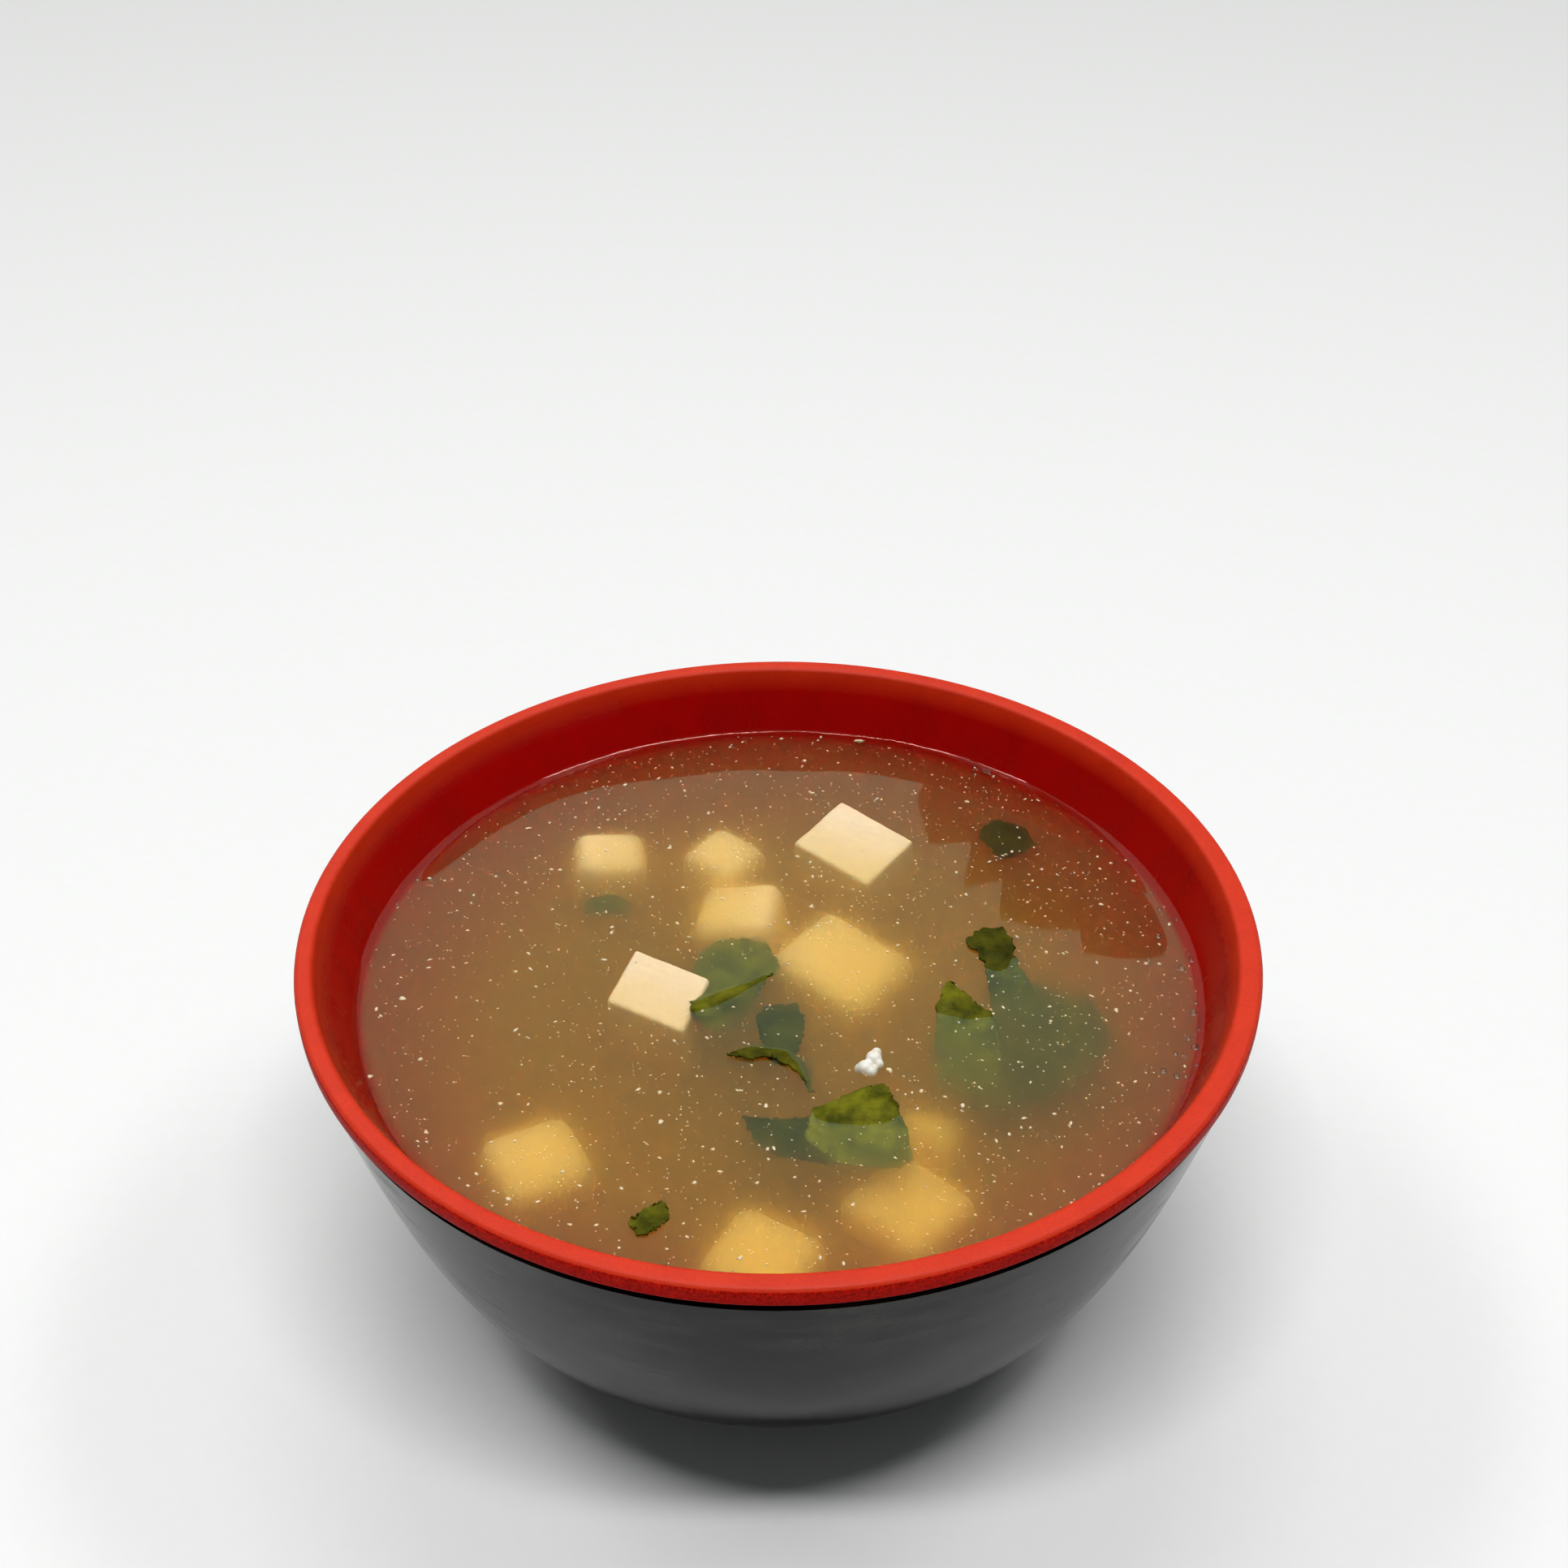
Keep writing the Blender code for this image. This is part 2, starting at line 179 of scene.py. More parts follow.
SUNK_LEAVES = {
    "wakame_sunk_middle": (
        ((-2.5, -6.9, -0.9), (2.6, -6.2, -1.1)),
        ((-2.9, -10.8, -0.5), (3.6, -10.2, -0.6)),
        ((-2.0, -15.0, -0.5), (2.4, -15.6, -0.5)),
        ((-0.8, -18.0, -0.9), (1.4, -18.4, -0.9)),
    ),
    "wakame_sunk_front": (
        ((-5.0, -27.6, -1.0), (-3.4, -31.0, -2.0)),
        ((-1.8, -28.2, -0.7), (-0.6, -33.2, -2.2)),
        ((2.0, -28.4, -0.6), (2.8, -34.2, -2.2)),
        ((5.4, -27.6, -0.7), (6.6, -35.0, -2.2)),
    ),
    "wakame_sunk_right": (
        ((31.0, -2.0, -2.0), (37.5, -0.4, -3.4)),
        ((29.8, -8.0, -2.6), (44.0, -4.4, -3.6)),
        ((27.6, -13.6, -3.2), (45.0, -11.0, -3.8)),
        ((25.0, -18.6, -3.8), (40.0, -17.8, -4.2)),
        ((24.0, -22.6, -4.8), (33.0, -22.6, -4.8)),
    ),
    "wakame_sunk_back": (
        ((30.4, 31.8, -0.9), (33.6, 25.8, -1.2)),
        ((33.6, 35.2, -0.8), (36.8, 27.3, -1.1)),
        ((38.0, 33.2, -0.9), (39.4, 29.4, -1.2)),
    ),
    "wakame_sunk_left": (
        ((-29.0, 17.6, -2.2), (-28.0, 14.8, -2.4)),
        ((-25.4, 19.0, -2.0), (-24.4, 15.0, -2.2)),
        ((-22.0, 18.0, -2.4), (-21.8, 15.8, -2.6)),
    ),
}


def miso(context):
    return context.scene.miso_soup


# ---------------------------------------------------------------- settings

def length(name, description, default):
    return FloatProperty(name=name, description=description, default=default, min=0.0,
                         unit="LENGTH", precision=5)


def colour(name, description, default):
    return FloatVectorProperty(name=name, description=description, default=default, size=3,
                               min=0.0, max=1.0, subtype="COLOR")


def number(name, description, default, unit="NONE"):
    return FloatProperty(name=name, description=description, default=default, min=0.0, unit=unit)


def factor(name, description, default, high=1.0):
    return FloatProperty(name=name, description=description, default=default, min=0.0, max=high,
                         subtype="FACTOR")


def count(name, description, default, low=0):
    return IntProperty(name=name, description=description, default=default, min=low)


class BowlSettings(PropertyGroup):
    """Sizes and colours of the bowl's two layers."""
    lip_width: length("Lip width", "Width of the red lip seen from above", 2.9 * MM)
    lip_drift: length("Lip drift", "How far the lip's inner edge is off centre", 0.35 * MM)
    outer_round: length("Outer rounding", "Rounding of the lip's outer edge", 0.85 * MM)
    inner_round: length("Inner rounding", "Rounding of the lip's inner edge", 0.8 * MM)
    segments: count("Segments", "Steps round the bowl", 192, 48)
    black: colour("Shell", "Black of the outer layer", (0.0045, 0.0045, 0.0045))
    film: colour("Wiped film", "Grey of the dried wipe marks on the shell", (0.028, 0.0295, 0.026))
    red: colour("Lining", "Red of the inner wall", (0.33, 0.0010, 0.0006))
    worn_red: colour("Worn lip", "Red of the lip where use has dulled it", (0.55, 0.027, 0.005))
    # painted shade: the lip's outer side is a darker, mottled copy of the lip's red
    side_red_painted_shade: colour("Lip side", "Red of the lip's outer side", (0.58, 0.010, 0.003))


class BrothSettings(PropertyGroup):
    """The broth's murk, its surface and the settled miso in it."""
    scatter: number("Murk", "Scattering per metre of broth", 30.0)
    cloud: number("Cloud", "More scattering in the top of the broth", 1150.0)
    cloud_depth: length("Cloud depth", "Depth of the cloudier top of the broth", 2.2 * MM)
    forward: factor("Forward share", "How far the murk throws light on", 0.87, 0.99)
    absorb: number("Depth of colour", "Absorption per metre of broth", 150.0)
    stain: colour("Stain", "Colour that the broth gives to light", (0.98, 0.86, 0.18))
    murk: colour("Murk colour", "Colour of the light that the murk throws on", (1.0, 0.62, 0.17))
    haze: colour("Cloud colour", "Colour of the light that the cloud throws on", (1.0, 0.78, 0.37))
    haze_forward: factor("Cloud forward", "How far the cloud throws light on", 0.95, 0.99)
    film: colour("Surface film", "Colour of the thin film on the broth", (0.36, 0.24, 0.06))
    film_share: factor("Film share", "How much the film hides", 0.010)
    swell: length("Swell", "Height of the slow waves on the surface", 0.006 * MM)
    trough: length("Trough", "Depth of the slack water along the back wall", 0.22 * MM)
    climb: length("Climb", "How far the broth climbs at the wall", 0.44 * MM)
    bed_depth: length("Settled depth", "Depth at which the settled miso starts", 11.0 * MM)
    bed_light: colour("Settled, light", "Lighter settled miso", (0.245, 0.135, 0.012))
    bed_dark: colour("Settled, dark", "Darker settled miso", (0.190, 0.100, 0.008))
    # painted light: the red the bed takes on near the wall is a painted glow of the red wall
    bed_painted_wall_glow: colour("Settled, wall", "Settled miso against the red wall", (0.20, 0.008, 0.003))


class TofuSettings(PropertyGroup):
    """The tofu's edges and colour."""
    edge_round: length("Edge rounding", "Rounding of the cut edges", 0.55 * MM)
    sunk_round: length("Sunk rounding", "Rounding of the edges that lie in the broth", 2.4 * MM)
    unevenness: length("Unevenness", "How far the cut faces wander", 0.10 * MM)
    cream: colour("Cream", "Colour of the curd", (0.72, 0.535, 0.345))
    deep: colour("Stained", "Colour where broth has soaked in", (0.70, 0.50, 0.285))
    wet: colour("Wet", "Colour of the cubes' edges that dip into the broth", (0.70, 0.47, 0.20))
    # painted light: both sunk colours are lighter than the dry curd's, a painted glow for the cubes
    # under the broth
    sunk_with_painted_glow: colour("Sunk cream", "Colour of the curd that the broth keeps wet", (0.86, 0.60, 0.35))
    sunk_stain_with_painted_glow: colour("Sunk, stained", "Its colour where broth has soaked in", (0.84, 0.525, 0.24))


class WakameSettings(PropertyGroup):
    """The wakame's thickness and greens."""
    thickness: length("Thickness", "Thickness of a leaf", 0.28 * MM)
    dark: colour("Dark green", "Green of the thick parts", (0.032, 0.034, 0.0010))
    bright: colour("Bright green", "Green of the thin parts", (0.122, 0.118, 0.005))
    sunk_dark: colour("Sunk, dark", "Green of the sunk leaves' thick parts", (0.014, 0.014, 0.001))
    sunk_bright: colour("Sunk, bright", "Green of their thin parts", (0.055, 0.050, 0.002))


class SpeckSettings(PropertyGroup):
    """What floats loose in the broth."""
    specks: count("Specks", "Number of fine specks", 3600)
    flakes: count("Flakes", "Number of larger flakes", 420)
    speck_size: length("Speck size", "Half the usual width of a fine speck", 0.072 * MM)
    flake_size: length("Flake size", "Half the usual width of a larger flake", 0.150 * MM)
    bubbles: count("Bubbles", "Number of bubbles at the wall", 26)
    white: colour("Speck", "Colour of the specks", (0.66, 0.55, 0.37))
    crumb: colour("Crumb", "Colour of the white crumb", (0.70, 0.69, 0.63))


class StageSettings(PropertyGroup):
    """Floor, lamps and camera."""
    floor: colour("Floor", "Colour of the floor", (0.72, 0.724, 0.718))
    key_power: number("Key", "Power of the strip lamp overhead", 9.8, "POWER")
    side_power: number("Sides", "Power of each lamp behind the sides", 76.0, "POWER")
    strip_power: number("Strip", "Power of the thin strip lamp at the back", 40.0, "POWER")
    wall_power: number("Wall", "Power of the wall behind, each square metre", 3.16)
    ambient: number("Ambient", "Light from all round", 0.125)


class MisoSettings(PropertyGroup):
    """All settings of the bowl of soup."""
    bowl: PointerProperty(type=BowlSettings)
    broth: PointerProperty(type=BrothSettings)
    tofu: PointerProperty(type=TofuSettings)
    wakame: PointerProperty(type=WakameSettings)
    specks: PointerProperty(type=SpeckSettings)
    stage: PointerProperty(type=StageSettings)


# ---------------------------------------------------------------- making and joining nodes

class Finish:
    """A material being made: its nodes are added from left to right and joined by name."""

    def __init__(self, name):
        self.material = bpy.data.materials.new(name)
        self.material.use_nodes = True
        self.tree = self.material.node_tree
        self.tree.nodes.clear()
        self.out = self.add("ShaderNodeOutputMaterial")
        self.place = self.add("ShaderNodeTexCoord").outputs["Object"]

    def add(self, kind, values=(), **settings):
        """Add a node, with its own settings and a dict of socket values or sources."""
        node = self.tree.nodes.new(kind)
        node.location.x = 200.0 * len(self.tree.nodes)
        for key, value in settings.items():
            setattr(node, key, value)
        for key, value in dict(values).items():
            if isinstance(value, bpy.types.NodeSocket):
                self.tree.links.new(value, node.inputs[key])
            else:
                node.inputs[key].default_value = value
        return node

    def noise(self, size, detail=3.0, roughness=0.55, stretch=None):
        """Cloudy noise whose blotches have about this size."""
        place = self.place
        if stretch is not None:
            place = self.add("ShaderNodeMapping", {"Vector": place, "Scale": stretch}).outputs[0]
        values = {"Vector": place, "Scale": 1.0 / size, "Detail": detail, "Roughness": roughness}
        return self.add("ShaderNodeTexNoise", values).outputs["Fac"]

    def cells(self, size):
        values = {"Vector": self.place, "Scale": 1.0 / size}
        return self.add("ShaderNodeTexVoronoi", values).outputs["Distance"]

    def spread(self, source, low, high, to_low=0.0, to_high=1.0):
        """Move a range of values on to another range, clamped."""
        values = {"Value": source, "From Min": low, "From Max": high,
                  "To Min": to_low, "To Max": to_high}
        return self.add("ShaderNodeMapRange", values).outputs["Result"]

    def blend(self, share, first, second):
        """A colour between two colours, by a share."""
        node = self.add("ShaderNodeMix", data_type="RGBA")
        for socket, value in zip((node.inputs[0], node.inputs[6], node.inputs[7]),
                                 (share, first, second)):
            if isinstance(value, bpy.types.NodeSocket):
                self.tree.links.new(value, socket)
            else:
                socket.default_value = (*value, 1.0)
        return node.outputs[2]

    def sum(self, operation, first, second):
        return self.add("ShaderNodeMath", {0: first, 1: second}, operation=operation).outputs[0]

    def height(self):
        """The height above the table, in metres."""
        return self.add("ShaderNodeSeparateXYZ", {0: self.place}).outputs["Z"]

    def away(self):
        """The distance from the bowl's axis, in metres."""
        spot = self.add("ShaderNodeSeparateXYZ", {0: self.place})
        level = self.add("ShaderNodeCombineXYZ", {"X": spot.outputs["X"], "Y": spot.outputs["Y"]})
        values = {0: level.outputs[0]}
        return self.add("ShaderNodeVectorMath", values, operation="LENGTH").outputs["Value"]

    def bump(self, source, distance, strength=1.0, under=None):
        values = {"Height": source, "Distance": distance, "Strength": strength}
        if under is not None:
            values["Normal"] = under
        return self.add("ShaderNodeBump", values).outputs["Normal"]

    def fill(self, volume):
        """What fills the inside."""
        self.tree.links.new(volume.outputs[0], self.out.inputs["Volume"])

    def show(self, shader):
        self.tree.links.new(shader.outputs[0], self.out.inputs["Surface"])
        return self.material

    def coat(self, base, roughness, gloss, normal=None):
        """The finished material, as an opaque coat."""
        values = {"Base Color": base, "Roughness": roughness, "Specular IOR Level": gloss}
        if normal is not None:
            values["Normal"] = normal
        return self.show(self.add("ShaderNodeBsdfPrincipled", values))


def dimmed(tone, share):
    """A colour brought down to a share of itself."""
    return tuple(share * part for part in tone)


def black_melamine(settings):
    """Glossy black, clouded by wiping, with fine scratches round the side."""
    finish = Finish("black_melamine")
    clouds = finish.noise(13 * MM, 5.0, 0.62)
    wiped = finish.noise(6 * MM, 4.0, 0.6, (0.35, 1.0, 1.6))
    film = finish.spread(finish.sum("MULTIPLY", clouds, wiped), 0.22, 0.40)
    grain = finish.noise(0.5 * MM, 2.0)
    scratches = finish.noise(0.5 * MM, 2.0, 0.5, (0.05, 0.05, 1.0))
    rough = finish.spread(finish.sum("ADD", film, finish.spread(scratches, 0.55, 0.75)),
                          0.0, 2.0, 0.11, 0.34)
    normal = finish.bump(grain, 0.012 * MM, 0.5)
    normal = finish.bump(scratches, 0.010 * MM, 0.4, normal)
    return finish.coat(finish.blend(film, settings.black, settings.film), rough, 0.09, normal)


def red_melamine(name, settings, worn_red, mottle_and_painted_shade, shine):
    """Deep red inside, dulled and lighter where hands and spoons wear the lip; a large mottle
    paints shade as dark mottling.
    """
    finish = Finish(name)
    wear = finish.spread(finish.height(), BOWL_HEIGHT - 3.6 * MM, BOWL_HEIGHT - 0.6 * MM)
    blotches = finish.noise(4 * MM, 4.0, 0.6)
    worn = finish.sum("MULTIPLY", wear, finish.spread(blotches, 0.25, 0.6, 0.75, 1.0))
    streaks = finish.noise(5 * MM, 4.0, 0.6, (1.0, 1.0, 0.25))
    grain = finish.noise(0.35 * MM, 3.0, 0.6)
    pits = finish.spread(finish.cells(0.9 * MM), 0.0, 0.25)
    deep = finish.blend(finish.spread(streaks, 0.4, 0.7), settings.red, dimmed(settings.red, 0.86))
    # A large mottle paints shade: darker mottling, as on the lip's outer side.
    rubbed_and_painted_shade = finish.blend(finish.spread(grain, 0.40, 0.62), dimmed(worn_red, 1 - mottle_and_painted_shade), worn_red)
    rough = finish.spread(worn, 0.0, 1.0, 0.24, 0.50)
    rough = finish.sum("ADD", rough, finish.spread(streaks, 0.35, 0.7, -0.03, 0.06))
    normal = finish.bump(grain, 0.018 * MM, 0.5)
    normal = finish.bump(pits, 0.02 * MM, 0.35, normal)
    return finish.coat(finish.blend(worn, deep, rubbed_and_painted_shade), rough, shine, normal)


def murk(finish, tint, scatter, forward):
    """Murk that throws light on."""
    finish.material.cycles.volume_sampling = "DISTANCE"
    return finish.add("ShaderNodeVolumeScatter", {
        "Color": (*tint, 1.0), "Density": scatter, "Anisotropy": forward})


def miso_broth(settings):
    """Cloudy liquid: a thin film on a clear surface, and stained murk under it."""
    finish = Finish("miso_broth")
    skin = finish.noise(2.2 * MM, 2.0, 0.7)
    clear = finish.add("ShaderNodeBsdfTransparent")
    film = finish.add("ShaderNodeBsdfDiffuse", {"Color": (*settings.film, 1.0)})
    cover = finish.spread(skin, 0.3, 0.7, 0.5 * settings.film_share, 1.5 * settings.film_share)
    body = finish.add("ShaderNodeMixShader", {0: cover, 1: clear.outputs[0], 2: film.outputs[0]})
    # Painted reflection colour: the surface's mirror is tinted greenish over the broth and pink
    # over its climb at the wall.
    tint = finish.blend(finish.spread(finish.away(), 56.6 * MM, 57.6 * MM),
                        (0.66, 1.0, 0.70), (1.0, 0.45, 0.42))
    shine = finish.add("ShaderNodeBsdfGlossy", {"Color": tint, "Roughness": 0.015})
    mirror = finish.add("ShaderNodeFresnel", {"IOR": 1.46}).outputs[0]
    inside = finish.add("ShaderNodeNewGeometry").outputs["Backfacing"]
    surface = finish.add("ShaderNodeMixShader", {
        0: finish.sum("SUBTRACT", mirror, inside), 1: body.outputs[0], 2: shine.outputs[0]})
    stain = finish.add("ShaderNodeVolumeAbsorption", {
        "Color": (*settings.stain, 1.0), "Density": settings.absorb})
    thrown = murk(finish, settings.murk, settings.scatter, settings.forward)
    finish.fill(finish.add("ShaderNodeAddShader", {0: thrown.outputs[0], 1: stain.outputs[0]}))
    return finish.show(surface)


def miso_cloud(settings):
    """The finest miso, which hangs at the top of the broth."""
    finish = Finish("miso_cloud")
    finish.fill(murk(finish, settings.haze, settings.cloud, settings.haze_forward))
    return finish.show(finish.add("ShaderNodeBsdfTransparent"))


def settled_miso(settings):
    """The dense cloud of miso that has sunk, in soft light and dark patches, reddened near the wall
    by a painted glow of the red wall.
    """
    finish = Finish("settled_miso")
    patches = finish.noise(14 * MM, 4.0, 0.6)
    fine = finish.noise(2.5 * MM, 3.0, 0.6)
    share = finish.spread(finish.sum("ADD", patches, fine), 0.8, 1.25)
    # Painted light: towards the wall the bed is reddened, a painted glow of the red wall's light.
    painted_wall_glow_share = finish.spread(finish.away(), 38 * MM, 54 * MM)
    middle = finish.blend(share, settings.bed_dark, settings.bed_light)
    return finish.coat(finish.blend(painted_wall_glow_share, middle, settings.bed_painted_wall_glow),
                       finish.spread(fine, 0.3, 0.7, 0.8, 0.95), 0.0)


def tofu_curd(name, cream, deep, wet, shine):
    """Fine creamy curd with a few grey pits, yellower where the broth has soaked in."""
    finish = Finish(name)
    soaked = finish.noise(7 * MM, 3.0, 0.5)
    grain = finish.noise(0.45 * MM, 4.0, 0.65)
    body = finish.blend(finish.spread(soaked, 0.45, 0.8), cream, deep)
    pits = finish.spread(finish.cells(3.1 * MM), 0.02, 0.085)
    dry_from = BROTH_LEVEL - 0.3 * MM
    dipped = finish.spread(finish.height(), BROTH_LEVEL - 1.0 * MM, dry_from, 1.0, 0.0)
    body = finish.blend(dipped, body, wet)
    normal = finish.bump(grain, 0.05 * MM, 0.35)
    normal = finish.bump(pits, 0.10 * MM, 0.6, normal)
    return finish.coat(finish.blend(pits, dimmed(deep, 0.55), body),
                       finish.spread(grain, 0.3, 0.7, 0.38, 0.55), shine, normal)


def wakame_leaf(name, dark, bright, shine):
    """Dark wet green, brighter where it is thin, softly mottled."""
    finish = Finish(name)
    # Painted light and shade: the leaf's greens are scaled to how lit or shaded it looks.
    painted_shading = LEAF_PAINTED_SHADING.get(name, 1.0)
    patches = finish.noise(3.5 * MM, 4.0, 0.6)
    fine = finish.noise(0.5 * MM, 3.0, 0.6)
    green = finish.blend(finish.spread(patches, 0.36, 0.68), dimmed(dark, painted_shading),
                         dimmed(bright, painted_shading))
    return finish.coat(green, finish.spread(fine, 0.3, 0.7, 0.28, 0.42), shine,
                       finish.bump(fine, 0.03 * MM, 0.35))


def curd_speck(name, pale, size):
    """Pale curd, slightly uneven in colour."""
    finish = Finish(name)
    patches = finish.noise(size, 3.0, 0.6)
    darker = tuple(part * share for part, share in zip(pale, (0.86, 0.80, 0.68)))
    return finish.coat(finish.blend(finish.spread(patches, 0.4, 0.65), pale, darker),
                       finish.spread(patches, 0.3, 0.7, 0.35, 0.6), 0.5,
                       finish.bump(finish.noise(0.2 * size, 3.0), 0.04 * size, 0.4))


def bubble_film():
    """A clear film that only mirrors."""
    finish = Finish("bubble_film")
    clear = finish.add("ShaderNodeBsdfTransparent")
    wobble = finish.bump(finish.noise(0.5 * MM, 2.0), 0.01 * MM, 0.3)
    shine = finish.add("ShaderNodeBsdfGlossy", {"Roughness": 0.05, "Normal": wobble})
    rim = finish.add("ShaderNodeFresnel", {"IOR": 1.4})
    return finish.show(finish.add("ShaderNodeMixShader", {
        0: rim.outputs[0], 1: clear.outputs[0], 2: shine.outputs[0]}))


def paper_floor(settings):
    """Matt pale sweep with the faintest fibre."""
    finish = Finish("paper_floor")
    fibre = finish.noise(3 * MM, 3.0, 0.6)
    pale = finish.blend(finish.spread(fibre, 0.4, 0.6), settings.floor,
                        dimmed(settings.floor, 0.992))
    return finish.coat(pale, finish.spread(fibre, 0.3, 0.7, 0.6, 0.7), 0.2)


# ---------------------------------------------------------------- shapes

def new_object(name, mesh, material):
    mesh.materials.append(material)
    thing = bpy.data.objects.new(name, mesh)
    bpy.context.scene.collection.objects.link(thing)
    return thing


def smooth_object(name, bm, material, sharp=None):
    """A bmesh as a smooth-shaded object, sharp past an angle if one is given."""
    mesh = bpy.data.meshes.new(name)
    bm.to_mesh(mesh)
    bm.free()
    mesh.shade_smooth()
    if sharp is not None:
        mesh.set_sharp_from_angle(angle=radians(sharp))
    return new_object(name, mesh, material)


def keep(piece, slot, *nodes):
    """Join a finished piece to the frame, and let it stand for its solids."""
    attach(piece, BODY)
    if nodes:
        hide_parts(*nodes)
    return piece


def side_curve(steps):
    """The outer side from the floor's edge up to the lip, as (radius, height)."""
    floor = Vector((FLOOR_RADIUS, FLOOR_HEIGHT, 0))
    lip = Vector((RIM_RADIUS - LIP_OVERHANG, LIP_UNDERSIDE, 0))
    floor_handle = floor + FLOOR_PULL * Vector((cos(FLOOR_LEAN), -sin(FLOOR_LEAN), 0))
    lip_handle = lip - SIDE_PULL * Vector((sin(SIDE_LEAN), cos(SIDE_LEAN), 0))
    points = interpolate_bezier(floor, floor_handle, lip_handle, lip, steps + 1)
    return [Vector((p.x, p.y)) for p in points]


def wall_at(height):
    """Full wall low down, thinning smoothly to the wall under the lip."""
    rise = max(0.0, height - WALL_TAPER_FROM) / (LIP_UNDERSIDE - WALL_TAPER_FROM)
    return FULL_WALL - (FULL_WALL - WALL_AT_LIP) * rise ** 2


def moved_in(points, thickness_at):
    """The side moved square to itself into the bowl."""
    moved = []
    for i, point in enumerate(points):
        along = points[min(i + 1, len(points) - 1)] - points[max(i - 1, 0)]
        along.normalize()
        moved.append(point + Vector((-along.y, along.x)) * thickness_at(point.y))
    return moved


def level_off(points, height):
    """Rising points cut off at a height, with a last point exactly on it."""
    kept = [p for p in points if p.y < height - 0.1 * MM]
    below, above = kept[-1], points[len(kept)]
    share = (height - below.y) / (above.y - below.y)
    return kept + [below.lerp(above, share)]


def arc(middle, radius, start, end, steps):
    angles = [radians(start + (end - start) * i / steps) for i in range(steps + 1)]
    return [Vector((middle[0] + radius * cos(a), middle[1] + radius * sin(a))) for a in angles]


def run(start, end, steps):
    """Points from start to end, both left out."""
    return [start.lerp(end, i / steps) for i in range(1, steps)]


def radius_at(outline, height):
    """The radius of a rising outline at a height."""
    for low, high in zip(outline, outline[1:]):
        if low.y <= height <= high.y:
            return low.lerp(high, (height - low.y) / (high.y - low.y)).x
    return outline[-1].x


def round_body(name, outline_at, segments, material, sharp=None):
    """A closed body from its outline at each angle; both ends of the outline are on the axis."""
    bm = bmesh.new()
    columns = []
    for i in range(segments):
        angle = 2 * pi * i / segments
        outline = outline_at(angle)
        columns.append([bm.verts.new((p.x * cos(angle), p.x * sin(angle), p.y))
                        for p in outline[1:-1]])
    bottom = bm.verts.new((0.0, 0.0, outline[0].y))
    top = bm.verts.new((0.0, 0.0, outline[-1].y))
    for left, right in zip(columns, columns[1:] + columns[:1]):
        bm.faces.new((bottom, right[0], left[0]))
        for k in range(len(left) - 1):
            bm.faces.new((left[k], right[k], right[k + 1], left[k + 1]))
        bm.faces.new((left[-1], right[-1], top))
    return smooth_object(name, bm, material, sharp)


# ---------------------------------------------------------------- bowl

SIDE_STEPS = 44
BASE_DROP = 0.5 * MM                # the middle lies this far under the floor's edge


def lining_inside():
    return moved_in(side_curve(SIDE_STEPS), wall_at)


def make_shell(settings):
    """The black outer layer with its foot ring."""
    top = LIP_UNDERSIDE - GAP
    inner = FOOT_RADIUS - FOOT_WIDTH
    foot = [Vector((0.0, UNDERSIDE_HEIGHT)), Vector((9 * MM, UNDERSIDE_HEIGHT)),
            Vector((inner - 1.6 * MM, UNDERSIDE_HEIGHT))]
    foot += arc((inner - 1.3 * MM, UNDERSIDE_HEIGHT - 1.2 * MM), 1.2 * MM, 90, 8, 5)
    foot += arc((inner + FOOT_ROUND, FOOT_ROUND), FOOT_ROUND, 188, 270, 5)
    foot += arc((FOOT_RADIUS - FOOT_ROUND, FOOT_ROUND), FOOT_ROUND, 270, 360, 5)
    foot += [Vector((FOOT_RADIUS + 0.1 * MM, FLOOR_HEIGHT - 1.2 * MM)),
             Vector((FOOT_RADIUS + 0.25 * MM, FLOOR_HEIGHT - 0.5 * MM))]
    outer = level_off(side_curve(SIDE_STEPS), top - REBATE_HEIGHT)
    ledge = outer[-1].x - REBATE_DEPTH
    edge = [Vector((ledge, top - REBATE_HEIGHT)), Vector((ledge, top))]
    inside = level_off(moved_in(side_curve(SIDE_STEPS), lambda height: SHELL_WALL), top)
    outline = foot + outer + edge + inside[::-1] + [Vector((0.0, inside[0].y - BASE_DROP))]
    shell = round_body("shell_ware", lambda angle: outline, settings.segments,
                       black_melamine(settings), 50)
    return keep(shell, "black_melamine", "bowl_shell")


